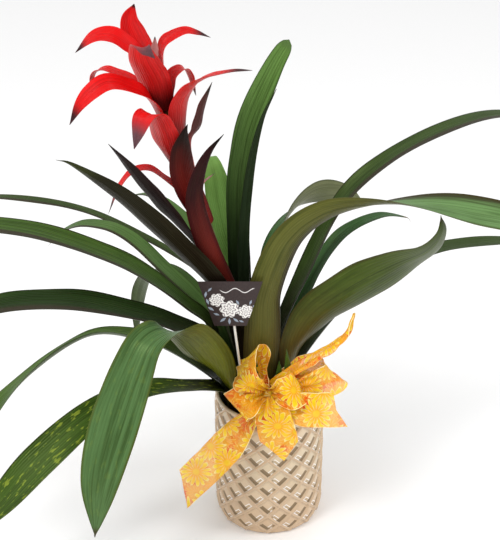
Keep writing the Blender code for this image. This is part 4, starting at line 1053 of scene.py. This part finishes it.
white_wood, tree, shader = principled("white_stick", Roughness=0.55)
place = object_place(tree)
grain_way = node(tree, "ShaderNodeMapping", {"Vector": place, "Scale": (1.0, 1.0, 0.05)}).outputs[0]
paint(tree, shader, mixed(tree, noise(tree, grain_way, 900.0), (0.78, 0.74, 0.66, 1.0),
                          (0.93, 0.91, 0.86, 1.0)))
emboss(tree, shader, noise(tree, grain_way, 1500.0), 0.0002)
CARD_FOOT = np.array([-25.0, -40.0, SOIL_LEVEL])
CARD_LEAN = -0.115
STICK_HEIGHT, STICK_DEPTH, STICK_RADIUS = 150.0, 60.0, 1.4
card_up = unit(np.array([CARD_LEAN, 0.0, 1.0]))
runs = np.array([-STICK_DEPTH, *np.linspace(0.0, STICK_HEIGHT - 0.5, 8), STICK_HEIGHT])
stick_path = CARD_FOOT + card_up * runs[:, None]
stick_radii = np.where(runs == STICK_HEIGHT, STICK_RADIUS - 0.5, STICK_RADIUS)
stands_for(skin("card_stick_rod", tube(stick_path, stick_radii, 16), white_wood), "white_stick", "card_stick")

# ---------------------------------------------------------------- the bow
# Wide sheer ribbon printed with daisies, a fine wire woven into each edge. It is gathered and
# tied at a knot on top of a white pick: four loops and four loose ends, crisp and crumpled.
KNOT = np.array([-2.0, -56.0, 199.0])
KNOT_RADIUS = 6.5
KNOT_LENGTH = 12.0
RIBBON_WIDTH = 38.0
RIBBON_THICKNESS = 0.3
RIBBON_ACROSS = 61
WIRE_RADIUS = 0.42
DAISY_PITCH = 35.0
END_REACH = 34.0
CRUMPLES = ((34.0, 1.1), (19.0, 0.65), (11.0, 0.35))  # the length and height of each wave
BOW_RINGS = 90
PLEATS = 3.0
GATHERED = 0.34  # the share of its width that a ribbon shows at the knot

# The daisies group: a field of many-petalled daisies in the ribbon's own flat coordinates.
daisies, given, result = effect("daisies", [("Place", "NodeSocketVector")],
                                [("Petal", "NodeSocketFloat"), ("Eye", "NodeSocketFloat"),
                                 ("Line", "NodeSocketFloat"), ("Depth", "NodeSocketFloat")])
cells = node(daisies, "ShaderNodeTexVoronoi",
             {"Vector": given.outputs["Place"], "Scale": 1.0, "Randomness": 0.7}, voronoi_dimensions="2D")
offset = node(daisies, "ShaderNodeVectorMath", {0: given.outputs["Place"], 1: cells.outputs["Position"]},
              operation="SUBTRACT").outputs[0]
east, north, _ = node(daisies, "ShaderNodeSeparateXYZ", {0: offset}).outputs
tint, _, _ = node(daisies, "ShaderNodeSeparateColor", {0: cells.outputs["Color"]}).outputs
bearing = calc(daisies, "ADD", calc(daisies, "ARCTAN2", north, east), calc(daisies, "MULTIPLY", tint, 6.0))
wobble = noise(daisies, given.outputs["Place"], 3.0, detail=2.0)
petal_turn = calc(daisies, "MULTIPLY_ADD", bearing, 7.5, calc(daisies, "MULTIPLY", wobble, 2.6))
lobes = calc(daisies, "ABSOLUTE", calc(daisies, "COSINE", petal_turn))
far = cells.outputs["Distance"]
petal_reach = calc(daisies, "MULTIPLY", calc(daisies, "POWER", lobes, 0.75), wobble)
petal_reach = calc(daisies, "MULTIPLY_ADD", petal_reach, 0.62, 0.22)
reached = calc(daisies, "DIVIDE", far, petal_reach)
petal = between(daisies, reached, 1.06, 0.96)
parting = calc(daisies, "MULTIPLY", between(daisies, lobes, 0.42, 0.12), between(daisies, far, 0.10, 0.2))
outline = calc(daisies, "MULTIPLY", between(daisies, reached, 0.86, 0.97), petal)
daisies.links.new(petal, result.inputs["Petal"])
daisies.links.new(between(daisies, far, 0.125, 0.085), result.inputs["Eye"])
daisies.links.new(calc(daisies, "MAXIMUM", parting, outline), result.inputs["Line"])
daisies.links.new(between(daisies, far, 0.1, 0.5), result.inputs["Depth"])

organza, tree, shader = principled("printed_organza", Roughness=0.42, Specular_IOR_Level=0.2)
flat_place = node(tree, "ShaderNodeUVMap", uv_map="surface").outputs[0]
printed = node(tree, "ShaderNodeMapping", {"Vector": flat_place, "Scale": (1 / DAISY_PITCH,) * 3}).outputs[0]
large = node(tree, "ShaderNodeGroup", node_tree=daisies)
tree.links.new(printed, large.inputs["Place"])
shifted = node(tree, "ShaderNodeMapping", {"Vector": flat_place, "Location": (3.7, 9.1, 0.0),
                                           "Scale": (1.5 / DAISY_PITCH,) * 3}).outputs[0]
small = node(tree, "ShaderNodeGroup", node_tree=daisies)
tree.links.new(shifted, small.inputs["Place"])
wash = noise(tree, printed, 2.2, detail=3.0)
ground = mixed(tree, between(tree, wash, 0.40, 0.58), (0.90, 0.13, 0.001, 1.0), (0.97, 0.34, 0.002, 1.0))
ground = mixed(tree, between(tree, noise(tree, printed, 5.0), 0.58, 0.72), ground, (0.97, 0.50, 0.05, 1.0))
ground = mixed(tree, calc(tree, "MULTIPLY", small.outputs["Petal"], 0.8), ground, (1.0, 0.50, 0.008, 1.0))
ground = mixed(tree, calc(tree, "MULTIPLY", small.outputs["Line"], 0.7), ground, (1.0, 0.70, 0.14, 1.0))
brushed = calc(tree, "ADD", large.outputs["Depth"],
               calc(tree, "MULTIPLY_ADD", noise(tree, printed, 9.0), 1.6, -0.8))
bloom_colour = mixed(tree, brushed, (1.0, 0.46, 0.001, 1.0), (1.0, 0.74, 0.01, 1.0))
bloom_colour = mixed(tree, calc(tree, "MULTIPLY", large.outputs["Line"], 0.6), bloom_colour,
                     (1.0, 0.92, 0.60, 1.0))
bloom_colour = mixed(tree, large.outputs["Eye"], bloom_colour, (1.0, 0.62, 0.01, 1.0))
paint(tree, shader, mixed(tree, large.outputs["Petal"], ground, bloom_colour))
weft = node(tree, "ShaderNodeTexWave", {"Vector": flat_place, "Scale": 1.1},
            bands_direction="Y").outputs["Fac"]
sheer = calc(tree, "MULTIPLY_ADD", large.outputs["Petal"], 0.10, 0.50)
sheer = calc(tree, "ADD", sheer, calc(tree, "MULTIPLY", noise(tree, printed, 6.0), 0.16))
tree.links.new(sheer, shader.inputs["Alpha"])
crumple = noise(tree, flat_place, 0.16, detail=3.0)
emboss(tree, shader, calc(tree, "MULTIPLY_ADD", weft, 0.05, crumple), 0.0015, strength=0.7)

edge_wire, tree, shader = principled("ribbon_edge", Roughness=0.35, Specular_IOR_Level=0.6)
place = object_place(tree)
paint(tree, shader, mixed(tree, between(tree, noise(tree, place, 45.0), 0.42, 0.6), (0.78, 0.32, 0.02, 1.0),
                          (0.98, 0.84, 0.42, 1.0)))


def strip(name, path, across, apparent, pleats, seed, slant=0.0, notch=0.0, crumple=1.0):
    """A ribbon along a path. Where it looks narrower than it is, the rest stands in pleats: a
    sine across it whose depth d keeps the flat width w, w = a (1 + (pi n d / a)^2 / 4) for n
    pleats in the apparent width a. The end edge slants and is notched by the amounts given."""
    random = np.random.default_rng(seed)
    count = len(path)
    tangent = unit(np.gradient(path, axis=0))
    side = np.array(across, float) * np.ones((count, 1))
    side = unit(side - np.sum(side * tangent, axis=1, keepdims=True) * tangent)
    up = np.cross(tangent, side)
    length = np.concatenate([[0], np.cumsum(np.linalg.norm(np.diff(path, axis=0), axis=1))])
    share = np.linspace(-1, 1, RIBBON_ACROSS)[None, :]
    wide = apparent[:, None]
    slack = np.clip(RIBBON_WIDTH / wide - 1, 0.0, 2.0)
    depth = 2 * wide / (np.pi * pleats) * np.sqrt(slack)
    phase = random.uniform(0, 6.28) + 0.4 * np.sin(length / 17.0)[:, None]
    rise = depth * np.sin(np.pi * pleats * share + phase) / 2
    t = length[:, None]
    for reach, height in CRUMPLES:
        a, b, c = random.uniform(-1, 1), random.uniform(0.6, 1.4), random.uniform(0, 6.28)
        wave = np.sin(2 * np.pi * (t * b / reach + a * share) + c)
        rise = rise + crumple * height * wave * (0.35 + 0.65 * share ** 2)
    last = np.clip((t - length[-1] + END_REACH) / END_REACH, 0, 1)
    run = last * (slant * share - notch * (1 - np.abs(share)))
    middle = path[:, None] + (share * wide / 2)[..., None] * side[:, None] + rise[..., None] * up[:, None] \
        + run[..., None] * tangent[:, None]
    down, over = np.gradient(middle, axis=0), np.gradient(middle, axis=1)
    normal = unit(np.cross(down, over))
    half = RIBBON_THICKNESS / 2
    rings = np.concatenate([middle + normal * half, (middle - normal * half)[:, ::-1]], axis=1)
    place = np.stack([share * RIBBON_WIDTH / 2 + 0 * run, t + run], axis=-1) + random.uniform(0, 400, 2)
    uv = np.concatenate([place, place[:, ::-1], place[:, :1]], axis=1)
    made = stands_for(skin(f"{name}_strip", rings, organza, uv=uv, flat_ends=True), "yellow_ribbon", name)
    for hand, column in (("left", 0), ("right", -1)):
        wire = tube(middle[:, column], np.full(count, WIRE_RADIUS), 6)
        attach(skin(f"{name}_wire_{hand}", wire, edge_wire), "root")
    return made


def swell_widths(knot_ends):
    """The width that a ribbon looks along its run: gathered at the knot, full a little way on."""
    t = np.linspace(0, 1, BOW_RINGS)
    gap = np.minimum(t, 1 - t) * 2 if knot_ends == 2 else t
    opened = np.clip(gap / 0.5, 0, 1)
    return RIBBON_WIDTH * (GATHERED + (1 - GATHERED) * opened * opened * (3 - 2 * opened))


def loop(name, out, across, belly, seed):
    """A loop of ribbon: out of the knot, round and back, as wide open as its belly."""
    out = np.array(out, float)
    swell = unit(np.cross(out, np.array(across, float)))
    t = np.linspace(0.012, 0.988, BOW_RINGS)[:, None]
    gap = KNOT_RADIUS - 3.0
    path = (KNOT + unit(out) * gap + (out - unit(out) * gap) * np.sin(np.pi * t) ** 0.85
            + swell * belly * np.sin(2 * np.pi * t))
    return strip(name, path, across, swell_widths(2), PLEATS, seed)


def tail(name, points, across, seed, pleats=PLEATS, widths=None, slant=0.0, notch=0.0, crumple=1.0):
    """A loose end of ribbon through points about the knot."""
    path = smooth_path([KNOT + np.array(point) for point in points], BOW_RINGS)
    apparent = swell_widths(1) if widths is None else RIBBON_WIDTH * along(widths, BOW_RINGS)
    return strip(name, path, across, apparent, pleats, seed, slant, notch, crumple)


KNOT_COLUMNS = 120
KNOT_TURN = 47.0  # the ribbon's length once round the knot
KNOT_CREASE = 12.0
pleat_turn = np.linspace(0, 2 * np.pi, KNOT_COLUMNS, endpoint=False)[None, :]
knot_run = np.linspace(-1, 1, 25)[:, None]
knot_radius = KNOT_RADIUS * (0.55 + 0.4 * np.sqrt(1 - 0.92 * knot_run ** 2)) \
    * (1 + 0.035 * np.sin(9 * pleat_turn + 2.0 * knot_run) + 0.02 * np.sin(17 * pleat_turn + 1.3))
knot_rings = KNOT + np.stack([knot_radius * np.cos(pleat_turn), knot_run * KNOT_LENGTH / 2 + 0 * pleat_turn,
                              knot_radius * np.sin(pleat_turn)], axis=-1)
knot_round = np.linspace(0, KNOT_TURN, KNOT_COLUMNS + 1)[None, :]
knot_uv = np.stack([knot_run * KNOT_CREASE + 0 * knot_round, knot_round + 0 * knot_run], axis=-1)
stands_for(skin("ribbon_knot_band", knot_rings, organza, uv=knot_uv), "yellow_ribbon", "ribbon_knot")
pick_top = KNOT + np.array([0.0, 6.0, -KNOT_RADIUS - 0.3])
pick_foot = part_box("bow_pick")[0].z / MM
pick_path = np.array([[pick_top[0], pick_top[1], z] for z in np.linspace(pick_foot, pick_top[2], 6)])
stands_for(skin("bow_pick_rod", tube(pick_path, np.full(6, STICK_RADIUS), 16), white_wood),
           "white_stick", "bow_pick")

loop("ribbon_loop_top", (-24, -3, 43), (0.55, -0.25, 0.80), 22, 3)
loop("ribbon_loop_left", (-36, -18, -6), (0.72, -0.4, -0.62), 10, 14)
loop("ribbon_loop_centre", (31, -19, 18), (0.4, -0.35, -0.85), 12, 5)
loop("ribbon_loop_right", (74, 20, 13), (0.70, 0.1, -0.70), 12, 6)
tail("ribbon_tail_front", [(1, -8, 0), (4, -23, -12), (8, -27, -27), (12, -29, -45)],
     (0.93, -0.15, 0.25), 7, widths=(0.36, 1.0, 1.12, 1.12), notch=-26.0, slant=2.0, crumple=0.6)
tail("ribbon_tail_left", [(-6, -2, -8), (-20, -9, -26), (-38, -20, -46), (-56, -30, -64),
                          (-78, -36, -86), (-95, -39, -103)], (0.7, -0.3, -0.6), 8, slant=13.0)
tail("ribbon_tail_right", [(5, -8, 0), (26, -20, -5), (44, -26, -5), (62, -27, -4), (79, -25, -5)],
     (-0.2, 0.4, 0.87), 9, slant=-8.0, notch=5.0)
tail("ribbon_tail_curled", [(2, 4, 9), (28, 12, 25), (54, 20, 37), (76, 16, 56), (88, 12, 74), (92, 10, 97)],
     (0.3, 0.9, 0.2), 10, pleats=2.0, widths=(0.4, 0.7, 0.55, 0.4, 0.12), crumple=0.5)
